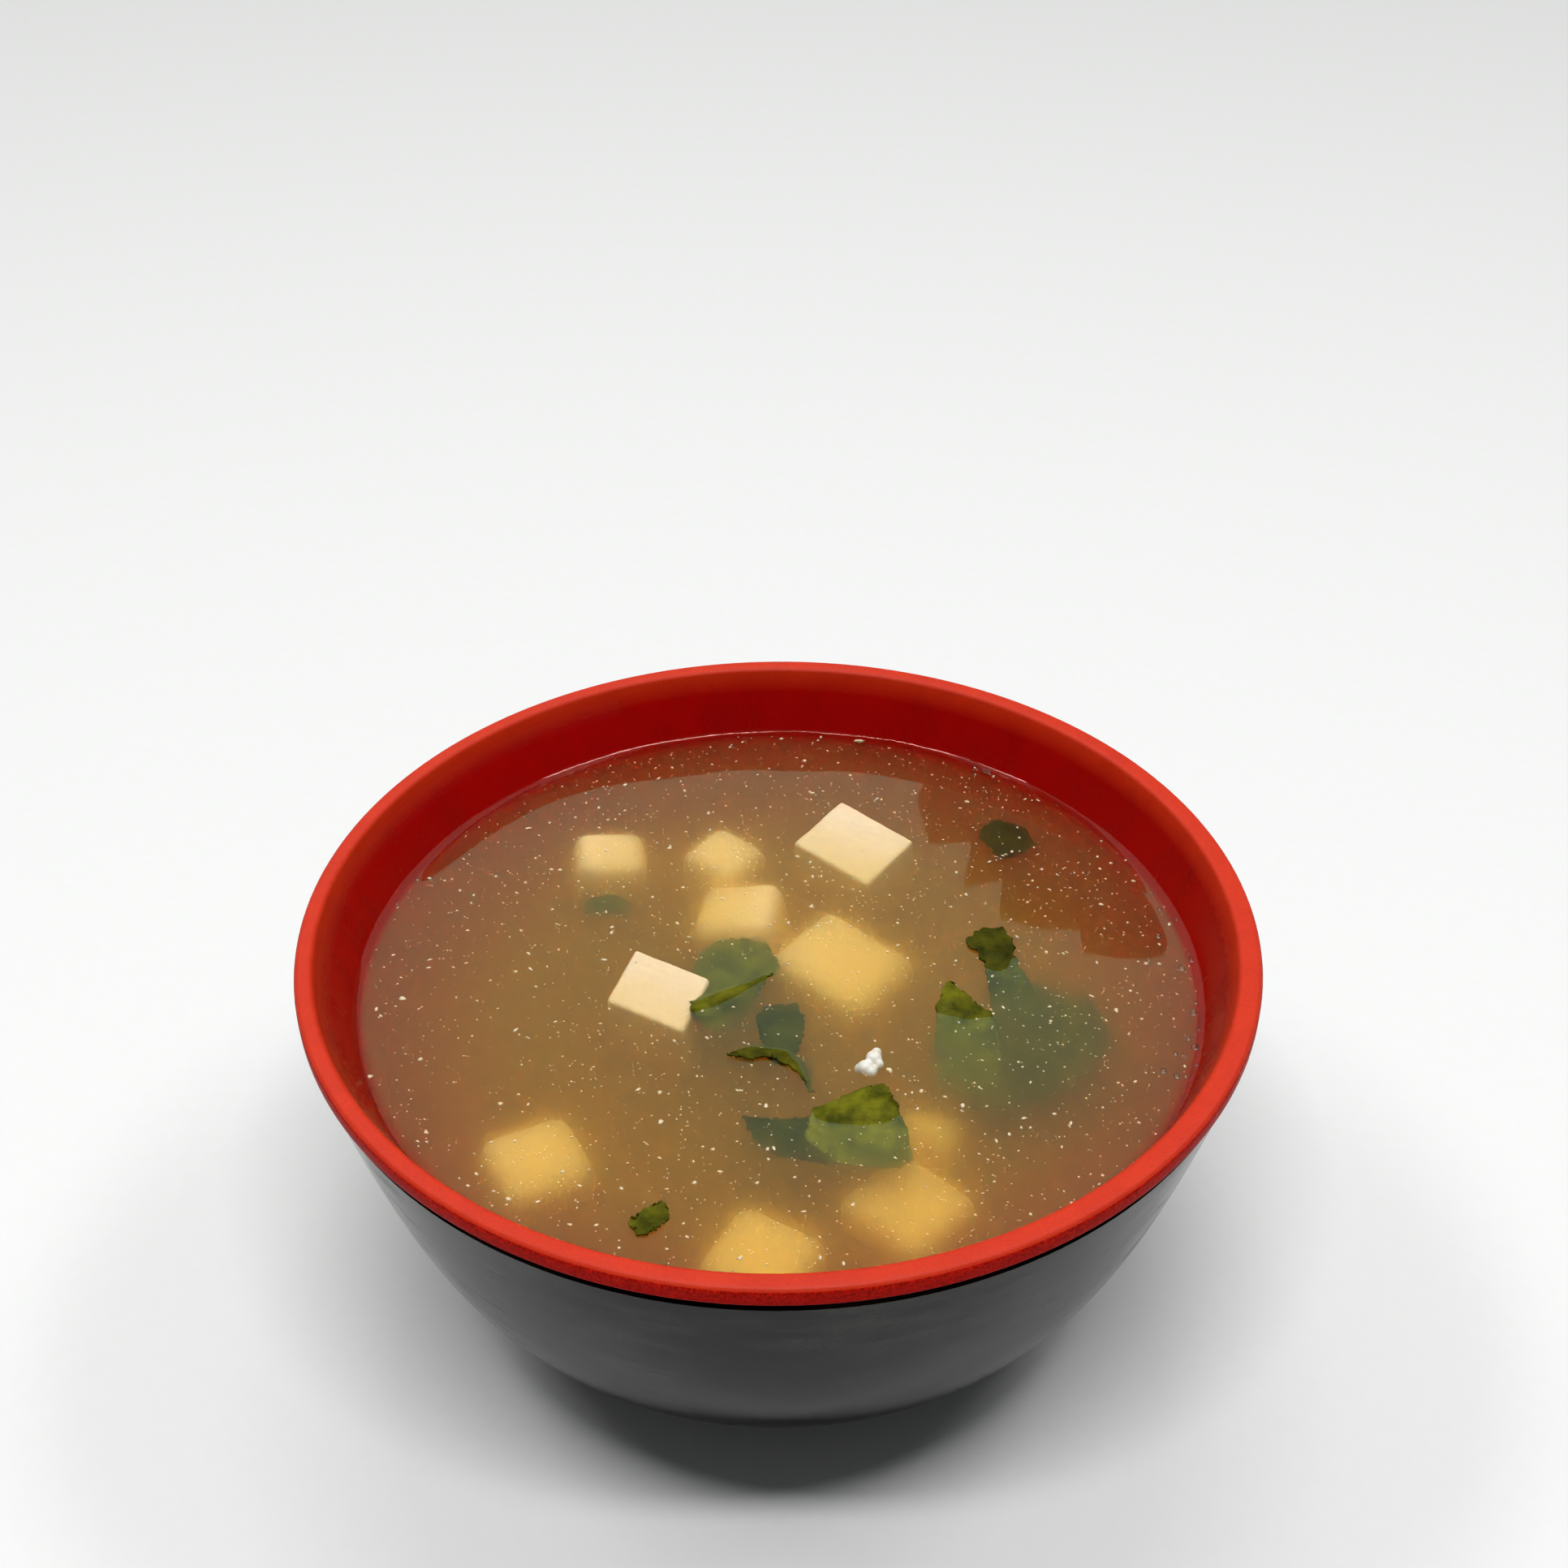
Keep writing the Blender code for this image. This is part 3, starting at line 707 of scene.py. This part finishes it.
def make_lining(settings):
    """The red inner layer; its lip folds over the shell and is a little wider on one side."""
    outer = level_off(moved_in(side_curve(SIDE_STEPS), lambda height: SHELL_WALL + GAP),
                      LIP_UNDERSIDE)
    inner = lining_inside()
    start = [Vector((0.0, outer[0].y - BASE_DROP))]
    corner = Vector((RIM_RADIUS - LIP_OVERHANG, LIP_UNDERSIDE))
    under = run(outer[-1], corner, 4)
    under += arc((corner.x, corner.y + LIP_OVERHANG), LIP_OVERHANG, 270, 360, 4)

    def outline_at(angle):
        drift = settings.lip_drift * cos(angle)
        width = settings.lip_width + drift
        lip = arc((RIM_RADIUS - settings.outer_round, BOWL_HEIGHT - settings.outer_round),
                  settings.outer_round, 0, 90, 9)
        lip += arc((RIM_RADIUS - width + settings.inner_round, BOWL_HEIGHT - settings.inner_round),
                   settings.inner_round, 90, 168, 7)
        wall = []
        for point in inner:
            fade = max(0.0, 1 - (LIP_UNDERSIDE - point.y) / (6 * MM))
            wall.append(Vector((point.x - drift * fade ** 2, point.y)))
        return start + outer + under + lip + wall[::-1] + [Vector((0.0, inner[0].y - BASE_DROP))]

    wall_red = red_melamine("red_wall", settings, settings.worn_red, 0.1, 0.06)
    lip_red = red_melamine("red_lip", settings, settings.worn_red, 0.1, 0.18)
    # Painted shade: the lip's outer side is a darker, mottled copy of the lip's red.
    side_red_painted_shade = red_melamine("red_lip_side", settings, settings.side_red_painted_shade, 0.6, 0.02)
    lining = round_body("lining_ware", outline_at, settings.segments, wall_red, 60)
    lining.data.materials.append(lip_red)
    lining.data.materials.append(side_red_painted_shade)
    for face in lining.data.polygons:
        if face.center.z < BOWL_HEIGHT - 3 * MM:
            continue
        if face.normal.z > 0.45:
            face.material_index = 1
        elif face.normal.xy.dot(face.center.xy) > 0:
            face.material_index = 2
    return keep(lining, "red_melamine", "bowl_lining")


# ---------------------------------------------------------------- broth

SWELL_WAVES = (  # wavelength in millimetres, direction and phase in degrees, share of the height
    (46.0, 20.0, 40.0, 1.6), (31.0, 100.0, 210.0, 1.2), (24.0, 160.0, 80.0, 0.9),
    (17.0, 60.0, 300.0, 0.6), (12.5, 130.0, 10.0, 0.35), (9.0, 10.0, 120.0, 0.2),
)
CLIMB_REACH = 1.1 * MM
BED_RELIEF = 1.3 * MM
BILLOW_SIZE = 13 * MM
TROUGH_PLACE = 9 * MM               # how far in from the wall the slack water lies
TROUGH_WIDTH = 4.5 * MM
CLOUD_INSET = 0.1 * MM


def swell(x, y):
    """Height of the slow waves, for a height of one."""
    height = 0.0
    for wavelength, direction, phase, share in SWELL_WAVES:
        along = x * cos(radians(direction)) + y * sin(radians(direction))
        height += share * sin(2 * pi * along / (wavelength * MM) + radians(phase))
    return height


def trough(angle, inward):
    """Depth of the slack water near the wall, for a depth of one; only at the back left."""
    back = max(0.0, cos(angle - radians(118))) ** 3
    here = Vector((2.2 * cos(angle), 2.2 * sin(angle), 7.0))
    share = 0.55 + 0.9 * noise.noise(here) + 0.5 * noise.noise(2.7 * here)
    return back * max(0.0, share) * exp(-((inward - TROUGH_PLACE) / TROUGH_WIDTH) ** 2)


def surface_at(settings, angle, radius, edge):
    """Height of the broth away from its climb at the wall, whose radius is the edge."""
    height = BROTH_LEVEL + settings.swell * swell(radius * cos(angle), radius * sin(angle))
    return height - settings.trough * trough(angle, edge - radius)


def top_points(edge, height_at, rings, bunched=1.0):
    """The top from its edge in to the axis, with its rings bunched at the edge if asked."""
    radii = [edge * (1 - (i / rings) ** bunched) for i in range(rings + 1)]
    return [Vector((radius, height_at(radius))) for radius in radii]


def make_broth(settings, segments):
    """The liquid: a slightly wavy surface that climbs at the wall, and reaches just into it."""
    wall = lining_inside()
    side = moved_in(side_curve(SIDE_STEPS), lambda height: wall_at(height) - GAP)

    def outline_at(angle):
        here = (cos(angle), sin(angle))
        wander = noise.noise(Vector((3.2 * here[0], 3.2 * here[1], 4.0)))
        wander += 0.5 * noise.noise(Vector((9.0 * here[0], 9.0 * here[1], 1.0)))
        climb = settings.climb * (1.0 + 0.55 * wander)
        edge = radius_at(wall, BROTH_LEVEL + climb)
        lift = climb + surface_at(settings, angle, edge, edge)
        below = [Vector((0.0, side[0].y - BASE_DROP))] + level_off(side, lift)

        def height_at(radius):
            height = surface_at(settings, angle, radius, edge)
            return height + climb * exp(-(edge - radius) / CLIMB_REACH)

        return below + top_points(edge, height_at, 110, 1.6)

    broth = round_body("broth_liquid", outline_at, segments, miso_broth(settings))
    return keep(broth, "miso_broth", "miso_soup")


def make_cloud(settings, segments):
    """The cloudier top of the broth, just inside its surface and clear of the wall."""
    edge = radius_at(lining_inside(), BROTH_LEVEL)
    low = BROTH_LEVEL - settings.cloud_depth
    reach = radius_at(lining_inside(), low) - CLOUD_INSET
    below = [Vector((0.0, low)), Vector((0.5 * reach, low)), Vector((reach, low))]

    def outline_at(angle):
        def height_at(radius):
            return surface_at(settings, angle, radius, edge) - CLOUD_INSET

        return below + top_points(reach, height_at, 60)

    cloud = round_body("broth_cloud", outline_at, segments, miso_cloud(settings))
    return keep(cloud, "miso_broth")


def make_bed(settings, segments):
    """Settled miso that fills the bowl's lower part and billows up under the liquid."""
    side = moved_in(side_curve(SIDE_STEPS), lambda height: wall_at(height) - 0.5 * GAP)
    level = BROTH_LEVEL - settings.bed_depth
    below = [Vector((0.0, side[0].y - 0.4 * MM))] + level_off(side, level)

    def outline_at(angle):
        def height_at(radius):
            place = Vector((radius * cos(angle), radius * sin(angle), 0.0)) / BILLOW_SIZE
            return level + BED_RELIEF * (noise.noise(place) + 0.4 * noise.noise(2.7 * place))

        return below + top_points(below[-1].x, height_at, 60)[1:]

    bed = round_body("broth_settled", outline_at, segments, settled_miso(settings))
    return keep(bed, "miso_broth")


# ---------------------------------------------------------------- tofu

SURFACE_CUTS = 48                   # cuts along each edge of a block's mesh
SUNK_CUTS = 20
WANDER_SIZE = 3.4 * MM
SEED_STEP = 3.1


def tofu_block(name, size, cuts, edge, skew, settings, seed, material):
    """A cut block of curd under its own origin, with soft edges and slightly uneven faces."""
    half = Vector((size[0] / 2, size[1] / 2, size[2] / 2))
    core = half - Vector((edge, edge, edge))
    bm = bmesh.new()
    bmesh.ops.create_cube(bm, size=2.0)
    bmesh.ops.subdivide_edges(bm, edges=bm.edges[:], cuts=cuts, use_grid_fill=True)
    for vert in bm.verts:
        place = Vector(half[i] * vert.co[i] for i in range(3))
        inside = Vector(min(max(place[i], -core[i]), core[i]) for i in range(3))
        out = (place - inside).normalized()
        place = inside + edge * out
        spot = place / WANDER_SIZE + Vector((seed, 0.0, 0.0))
        wander = noise.noise(spot) + 0.35 * noise.noise(4 * spot)
        place += out * settings.unevenness * wander
        vert.co = (place.x + skew * place.y, place.y, place.z - half.z)
    return smooth_object(name, bm, material)


def placement(middle, top, turn, along, across):
    tilt = Matrix.Rotation(radians(across), 4, "X") @ Matrix.Rotation(radians(along), 4, "Y")
    turned = Matrix.Rotation(radians(turn), 4, "Z") @ tilt
    return Matrix.Translation((middle[0] * MM, middle[1] * MM, top)) @ turned


def make_tofu(settings):
    dry = tofu_curd("tofu", settings.cream, settings.deep, settings.wet, 0.10)
    # Painted light: the sunk cubes get a lighter copy of the curd, painting their glow through the
    # broth.
    sunk_with_painted_glow = tofu_curd("tofu_sunk", settings.sunk_with_painted_glow, settings.sunk_stain_with_painted_glow, settings.sunk_with_painted_glow, 0.0)
    for seed, (node, entry) in enumerate(SURFACE_TOFU.items()):
        middle, long, wide, high, turn, along, across, skew, proud = entry
        size = (long * MM, wide * MM, high * MM)
        block = tofu_block(f"{node}_curd", size, SURFACE_CUTS, settings.edge_round, skew, settings,
                           SEED_STEP * seed, dry)
        tilted = placement((0, 0), 0.0, turn, along, across)
        corners = [Vector((sx * size[0] / 2, sy * size[1] / 2, 0))
                   for sx in (-1, 1) for sy in (-1, 1)]
        highest = max((tilted @ corner).z for corner in corners)
        level = BROTH_LEVEL + proud * MM - highest
        block.data.transform(placement(middle, level, turn, along, across))
        keep(block, "tofu", node)
    for seed, (name, entry) in enumerate(SUNK_TOFU.items(), 4):
        middle, depth, long, wide, high, turn, along, across = entry
        size = (long * MM, wide * MM, high * MM)
        block = tofu_block(name, size, SUNK_CUTS, settings.sunk_round, 0.0, settings,
                           SEED_STEP * seed, sunk_with_painted_glow)
        block.matrix_world = placement(middle, BROTH_LEVEL - depth * MM, turn, along, across)
        keep(block, "tofu")


# ---------------------------------------------------------------- wakame

LEAF_STATIONS = 60
LEAF_COLUMNS = 30
LEAF_SEED_STEP = 5.0
RAGGED_MARGIN = 0.12                # share of a leaf, in from its outline, that is ragged


def smooth_curve(values, place):
    """A Catmull-Rom curve through the values, read at a place from 0 to 1."""
    knots = [2 * values[0] - values[1]] + values + [2 * values[-1] - values[-2]]
    spot = place * (len(values) - 1)
    span = min(int(spot), len(values) - 2)
    t = spot - span
    a, b, c, d = knots[span:span + 4]
    return 0.5 * (2 * b + (c - a) * t + (2 * a - 5 * b + 4 * c - d) * t ** 2
                  + (3 * b - a - 3 * c + d) * t ** 3)


def leaf_mesh(name, rows, seed, settings, material):
    """A leaf drawn out through its rows of points, ragged at its outline and ruffled."""
    columns = [[Vector(row[k]) for row in rows] for k in range(len(rows[0]))]
    bm = bmesh.new()
    grid = []
    for i in range(LEAF_STATIONS + 1):
        place = i / LEAF_STATIONS
        ribs = [smooth_curve(column, place) for column in columns]
        line = []
        for j in range(LEAF_COLUMNS + 1):
            across = j / LEAF_COLUMNS
            point = smooth_curve(ribs, across)
            spot = Vector((point.x, point.y, seed))
            margin = min(across, 1 - across, place, 1 - place)
            ragged = max(0.0, 1 - margin / RAGGED_MARGIN)
            push = Vector((noise.noise(0.9 * spot), noise.noise(0.9 * spot + Vector((7, 3, 1))), 0))
            fine = Vector((noise.noise(2.6 * spot), noise.noise(2.6 * spot + Vector((2, 9, 4))), 0))
            point += ragged * (0.55 * push + 0.28 * fine)
            point.z += 0.12 * noise.noise(0.5 * spot) + 0.05 * noise.noise(1.7 * spot)
            line.append(bm.verts.new((point.x * MM, point.y * MM, BROTH_LEVEL + point.z * MM)))
        grid.append(line)
    for low, high in zip(grid, grid[1:]):
        for j in range(LEAF_COLUMNS):
            bm.faces.new((low[j], low[j + 1], high[j + 1], high[j]))
    bmesh.ops.recalc_face_normals(bm, faces=bm.faces)
    if sum(face.normal.z for face in bm.faces) < 0:
        bmesh.ops.reverse_faces(bm, faces=bm.faces)
    leaf = smooth_object(name, bm, material)
    thick = leaf.modifiers.new("thickness", "SOLIDIFY")
    thick.thickness = settings.thickness
    thick.offset = -1.0
    return leaf


def make_wakame(settings):
    for seed, (name, rows) in enumerate(LEAVES.items()):
        leaf = wakame_leaf(name, settings.dark, settings.bright, 0.03)
        piece = leaf_mesh(name, rows, LEAF_SEED_STEP * seed, settings, leaf)
        keep(piece, "wakame", LEAF_NODES[name])
    for seed, (name, rows) in enumerate(SUNK_LEAVES.items(), 9):
        leaf = wakame_leaf(name, settings.sunk_dark, settings.sunk_bright, 0.0)
        keep(leaf_mesh(name, rows, LEAF_SEED_STEP * seed, settings, leaf), "wakame")


# ---------------------------------------------------------------- specks, crumb and bubbles

SURFACE_REACH = 57.6 * MM
SPECK_DEPTHS = (0.0, 0.0, 0.2 * MM, 0.6 * MM)
TOFU_CLEARANCE = 0.3                # millimetres that specks keep from the cubes
PATCH_SIZE = 16 * MM                # of the thicker and thinner drifts of specks
BUBBLE_GROUPS = (4.0, -16.0, -21.0, 52.0)   # where along the wall, in degrees


def on_tofu(x, y):
    """True over the two cubes at the surface."""
    for middle, long, wide, _, turn, *_ in SURFACE_TOFU.values():
        away = Vector((x / MM - middle[0], y / MM - middle[1]))
        away.rotate(Matrix.Rotation(radians(-turn), 2))
        if abs(away.x) < long / 2 + TOFU_CLEARANCE and abs(away.y) < wide / 2 + TOFU_CLEARANCE:
            return True
    return False


def surface_height(x, y, settings):
    return BROTH_LEVEL + settings.swell * swell(x, y)


def lump(subdivisions, seed, roughness):
    """An uneven pebble of radius one."""
    bm = bmesh.new()
    bmesh.ops.create_icosphere(bm, subdivisions=subdivisions, radius=1.0)
    for vert in bm.verts:
        vert.co *= 1 + roughness * noise.noise(1.6 * vert.co + Vector((seed, 0, 0)))
    return bm


def scatter(name, shapes, places, material):
    """One mesh that holds a copy of a shape at each place."""
    verts, faces = [], []
    outlines = []
    for shape in shapes:
        shape.verts.index_update()
        outlines.append(([v.co.copy() for v in shape.verts],
                         [[v.index for v in face.verts] for face in shape.faces]))
        shape.free()
    for i, place in enumerate(places):
        corners, sides = outlines[i % len(outlines)]
        first = len(verts)
        verts.extend(place @ corner for corner in corners)
        faces.extend([first + k for k in side] for side in sides)
    mesh = bpy.data.meshes.new(name)
    mesh.from_pydata(verts, [], faces)
    mesh.shade_smooth()
    return new_object(name, mesh, material)


def floating_place(rng, size, flatness, stretch, depth, broth):
    """A random flat-lying place on the broth, sunk by a depth."""
    while True:
        radius = SURFACE_REACH * sqrt(rng.random())
        angle = rng.uniform(0, 2 * pi)
        x, y = radius * cos(angle), radius * sin(angle)
        density = 0.75 + 0.5 * noise.noise(Vector((x, y, 0.0)) / PATCH_SIZE)
        if rng.random() < density and not on_tofu(x, y):
            break
    z = surface_height(x, y, broth) - depth
    turn = Matrix.Rotation(rng.uniform(0, 2 * pi), 4, "Z")
    tilt = Matrix.Rotation(rng.gauss(0, 0.25), 4, "X")
    scale = Matrix.Diagonal((size * stretch, size, size * flatness, 1.0))
    return Matrix.Translation((x, y, z)) @ turn @ tilt @ scale


def make_specks(settings, broth):
    """Fine specks and larger flakes of curd, most at the surface and some just under it."""
    rng = random.Random(11)
    material = curd_speck("curd_speck", settings.white, 0.4 * MM)
    kinds = (  # name, number, usual size, its spread, flatness, longest stretch, shapes
        ("miso_specks", settings.specks, settings.speck_size, 0.35, 0.6, 1.6,
         [lump(1, 4.0 * i, 0.5) for i in range(5)]),
        ("curd_flakes", settings.flakes, settings.flake_size, 0.30, 0.5, 1.9,
         [lump(2, 5.0 * i, 0.6) for i in range(7)]),
    )
    for name, total, usual, spread, flatness, longest, shapes in kinds:
        places = []
        for _ in range(total):
            size = rng.lognormvariate(0.0, spread) * usual
            depth = rng.choice(SPECK_DEPTHS) * rng.random()
            stretch = rng.uniform(1.0, longest)
            places.append(floating_place(rng, size, flatness, stretch, depth, broth))
        keep(scatter(name, shapes, places, material), "tofu")


CRUMB_LOBES = (  # place over the surface and radius, in millimetres
    ((11.3, -19.6, -0.35), 1.05), ((12.5, -18.2, -0.05), 1.10), ((12.9, -17.3, 0.15), 0.72),
    ((13.1, -19.1, -0.20), 0.72), ((10.6, -19.4, -0.75), 0.75), ((12.1, -20.1, -0.55), 0.85),
)


def make_crumb(settings):
    """The white crumb: lumps grown together."""
    bm = bmesh.new()
    for place, radius in CRUMB_LOBES:
        spot = Vector((place[0] * MM, place[1] * MM, BROTH_LEVEL + place[2] * MM))
        bmesh.ops.create_icosphere(bm, subdivisions=4, radius=radius * MM,
                                   matrix=Matrix.Translation(spot))
    crumb = smooth_object("white_crumb", bm, curd_speck("crumb_curd", settings.crumb, 1.2 * MM))
    grown = crumb.modifiers.new("grown_together", "REMESH")
    grown.mode = "VOXEL"
    grown.voxel_size = 0.11 * MM
    grown.use_smooth_shade = True
    soften = crumb.modifiers.new("soften", "SMOOTH")
    soften.factor = 0.6
    soften.iterations = 24
    return keep(crumb, "tofu")


def make_bubbles(settings, broth):
    """Small bubbles gathered where the broth meets the wall."""
    rng = random.Random(5)
    wall = radius_at(lining_inside(), BROTH_LEVEL)
    places = []
    for i in range(settings.bubbles):
        group = BUBBLE_GROUPS[i % len(BUBBLE_GROUPS)]
        angle = radians(rng.gauss(group, 4.0))
        size = rng.uniform(0.18, 0.55) * MM
        radius = wall - size - abs(rng.gauss(0.0, 1.6)) * MM
        x, y = radius * cos(angle), radius * sin(angle)
        spot = (x, y, surface_height(x, y, broth) + 0.1 * size)
        places.append(Matrix.Translation(spot) @ Matrix.Diagonal((size, size, 0.8 * size, 1.0)))
    bm = bmesh.new()
    bmesh.ops.create_icosphere(bm, subdivisions=3, radius=1.0)
    return keep(scatter("wall_bubbles", [bm], places, bubble_film()), "miso_broth")


# ---------------------------------------------------------------- stage

CAMERA_RISE = radians(39.51)        # camera above the rim's middle
CAMERA_DISTANCE = 266.6 * MM
CAMERA_YAW = radians(0.227)
CAMERA_ROLL = radians(-0.16)
CAMERA_LIFT = radians(3.784)        # the view is aimed this far above the rim's middle
LENS_TO_WIDTH = 2400 / 1932
VOLUME_BOUNCES = 24                 # enough for light to find its way through the murk
MOST_BOUNCES = 32

LAMPS = (  # azimuth and height in degrees, distance, width and depth in metres, power's setting
    ("overhead", 180.0, 75.5, 1.2, 0.76, 0.09, "key_power"),
    ("side_left", -67.0, 52.0, 6.0, 2.4, 1.0, "side_power"),
    ("side_right", 67.0, 52.0, 6.0, 2.4, 1.0, "side_power"),
    ("back_strip", 0.0, 66.0, 5.0, 2.0, 0.3, "strip_power"),
)
WALL_PLACE = (0.0, 45.0, 5.0)       # azimuth and height in degrees, distance in metres
WALL_TINT = (0.97, 1.0, 0.96)
AMBIENT_TINT = (0.97, 0.985, 1.0, 1.0)
FLOOR_SIZE = 6.0
WALL_LAMPS = (  # left, right, low and high edge in the lamps' common plane, in metres
    ("wall_high", -4.2, 4.2, -0.34, 1.525),
    ("wall_middle", -5.2, 0.80, -0.42, -0.34),
    ("wall_low", -5.2, 0.60, -0.52, -0.42),
    ("wall_lower", -5.2, 0.50, -0.64, -0.52),
    ("wall_lowest", -5.2, 0.40, -1.865, -0.64),
)


def make_camera(scene):
    data = bpy.data.cameras.new("camera")
    data.sensor_width = 36.0
    data.lens = data.sensor_width * LENS_TO_WIDTH
    data.clip_start = 0.01
    place = Vector((0.0, -CAMERA_DISTANCE * cos(CAMERA_RISE),
                    BOWL_HEIGHT + CAMERA_DISTANCE * sin(CAMERA_RISE)))
    fall = CAMERA_RISE - CAMERA_LIFT
    ahead = Vector((sin(CAMERA_YAW) * cos(fall), cos(CAMERA_YAW) * cos(fall), -sin(fall)))
    right = ahead.cross(Vector((0, 0, 1))).normalized()
    up = right.cross(ahead)
    across = cos(CAMERA_ROLL) * right + sin(CAMERA_ROLL) * up
    upright = cos(CAMERA_ROLL) * up - sin(CAMERA_ROLL) * right
    turn = Matrix((across, upright, -ahead)).transposed().to_4x4()
    camera = bpy.data.objects.new("camera", data)
    scene.collection.objects.link(camera)
    camera.matrix_world = Matrix.Translation(place) @ turn
    scene.camera = camera


def softbox(scene, name, azimuth, height, distance, width, depth, power, aside=0.0, raised=0.0):
    """A rectangular lamp square to the bowl at an azimuth and a height, both in degrees.

    It can be moved aside to the right and raised, both in its own plane.
    """
    lamp = bpy.data.lights.new(name, "AREA")
    lamp.shape = "RECTANGLE"
    lamp.size = width
    lamp.size_y = depth
    lamp.energy = power
    toward = Vector((sin(radians(azimuth)) * cos(radians(height)),
                     cos(radians(azimuth)) * cos(radians(height)), sin(radians(height))))
    thing = bpy.data.objects.new(name, lamp)
    scene.collection.objects.link(thing)
    thing.matrix_world = (Matrix.Translation(distance * toward)
                          @ toward.to_track_quat("Z", "Y").to_matrix().to_4x4()
                          @ Matrix.Translation((-aside, raised, 0.0)))
    return thing


def make_stage(scene, settings):
    scene.view_settings.view_transform = "Standard"
    world = bpy.data.worlds.new("ambient")
    scene.world = world
    world.use_nodes = True
    background = world.node_tree.nodes["Background"]
    background.inputs["Color"].default_value = AMBIENT_TINT
    background.inputs["Strength"].default_value = settings.ambient
    bm = bmesh.new()
    bmesh.ops.create_grid(bm, x_segments=1, y_segments=1, size=FLOOR_SIZE)
    smooth_object("floor", bm, paper_floor(settings))
    for name, *place, power in LAMPS:
        softbox(scene, name, *place, getattr(settings, power))
    for name, left, right, low, high in WALL_LAMPS:
        power = settings.wall_power * (right - left) * (high - low)
        lamp = softbox(scene, name, *WALL_PLACE, right - left, high - low, power,
                       (left + right) / 2, (low + high) / 2)
        lamp.data.color = WALL_TINT
    make_camera(scene)
    scene.cycles.use_light_tree = False
    scene.cycles.volume_bounces = VOLUME_BOUNCES
    scene.cycles.max_bounces = MOST_BOUNCES


# ---------------------------------------------------------------- operators and panel

class MISO_OT_bowl(Operator):
    """Make the black shell and the red lining with its worn lip"""
    bl_idname = "miso.bowl"
    bl_label = "Bowl"

    def execute(self, context):
        make_shell(miso(context).bowl)
        make_lining(miso(context).bowl)
        return {"FINISHED"}


class MISO_OT_broth(Operator):
    """Make the cloudy broth and the miso that has settled in it"""
    bl_idname = "miso.broth"
    bl_label = "Broth"

    def execute(self, context):
        make_broth(miso(context).broth, miso(context).bowl.segments)
        make_cloud(miso(context).broth, miso(context).bowl.segments)
        make_bed(miso(context).broth, miso(context).bowl.segments)
        return {"FINISHED"}


class MISO_OT_tofu(Operator):
    """Make the tofu at the surface and the tofu that has sunk"""
    bl_idname = "miso.tofu"
    bl_label = "Tofu"

    def execute(self, context):
        make_tofu(miso(context).tofu)
        return {"FINISHED"}


class MISO_OT_wakame(Operator):
    """Make the wakame at the surface and the leaves that have sunk"""
    bl_idname = "miso.wakame"
    bl_label = "Wakame"

    def execute(self, context):
        make_wakame(miso(context).wakame)
        return {"FINISHED"}


class MISO_OT_specks(Operator):
    """Scatter specks and flakes of curd over the broth, with the white crumb"""
    bl_idname = "miso.specks"
    bl_label = "Specks and crumb"

    def execute(self, context):
        make_specks(miso(context).specks, miso(context).broth)
        make_crumb(miso(context).specks)
        return {"FINISHED"}


class MISO_OT_bubbles(Operator):
    """Gather small bubbles along the wall"""
    bl_idname = "miso.bubbles"
    bl_label = "Bubbles"

    def execute(self, context):
        make_bubbles(miso(context).specks, miso(context).broth)
        return {"FINISHED"}


class MISO_OT_stage(Operator):
    """Set up the floor, the lamps and the camera"""
    bl_idname = "miso.stage"
    bl_label = "Stage"

    def execute(self, context):
        make_stage(context.scene, miso(context).stage)
        return {"FINISHED"}


class MISO_PT_panel(Panel):
    """Lists the steps in the order that they are made"""
    bl_idname = "MISO_PT_panel"
    bl_label = "Miso Soup"
    bl_space_type = "VIEW_3D"
    bl_region_type = "UI"
    bl_category = "Miso Soup"

    def draw(self, context):
        for operator in OPERATORS:
            self.layout.operator(operator.bl_idname)


OPERATORS = (MISO_OT_bowl, MISO_OT_broth, MISO_OT_tofu, MISO_OT_wakame, MISO_OT_specks,
             MISO_OT_bubbles, MISO_OT_stage)
CLASSES = (BowlSettings, BrothSettings, TofuSettings, WakameSettings, SpeckSettings,
           StageSettings, MisoSettings, *OPERATORS, MISO_PT_panel)


def register():
    for entry in CLASSES:
        bpy.utils.register_class(entry)
    bpy.types.Scene.miso_soup = PointerProperty(type=MisoSettings)


def unregister():
    del bpy.types.Scene.miso_soup
    for entry in reversed(CLASSES):
        bpy.utils.unregister_class(entry)


def main():
    register()
    bpy.ops.miso.bowl()
    bpy.ops.miso.broth()
    bpy.ops.miso.tofu()
    bpy.ops.miso.wakame()
    bpy.ops.miso.specks()
    bpy.ops.miso.bubbles()
    bpy.ops.miso.stage()


if __name__ == "__main__":
    main()
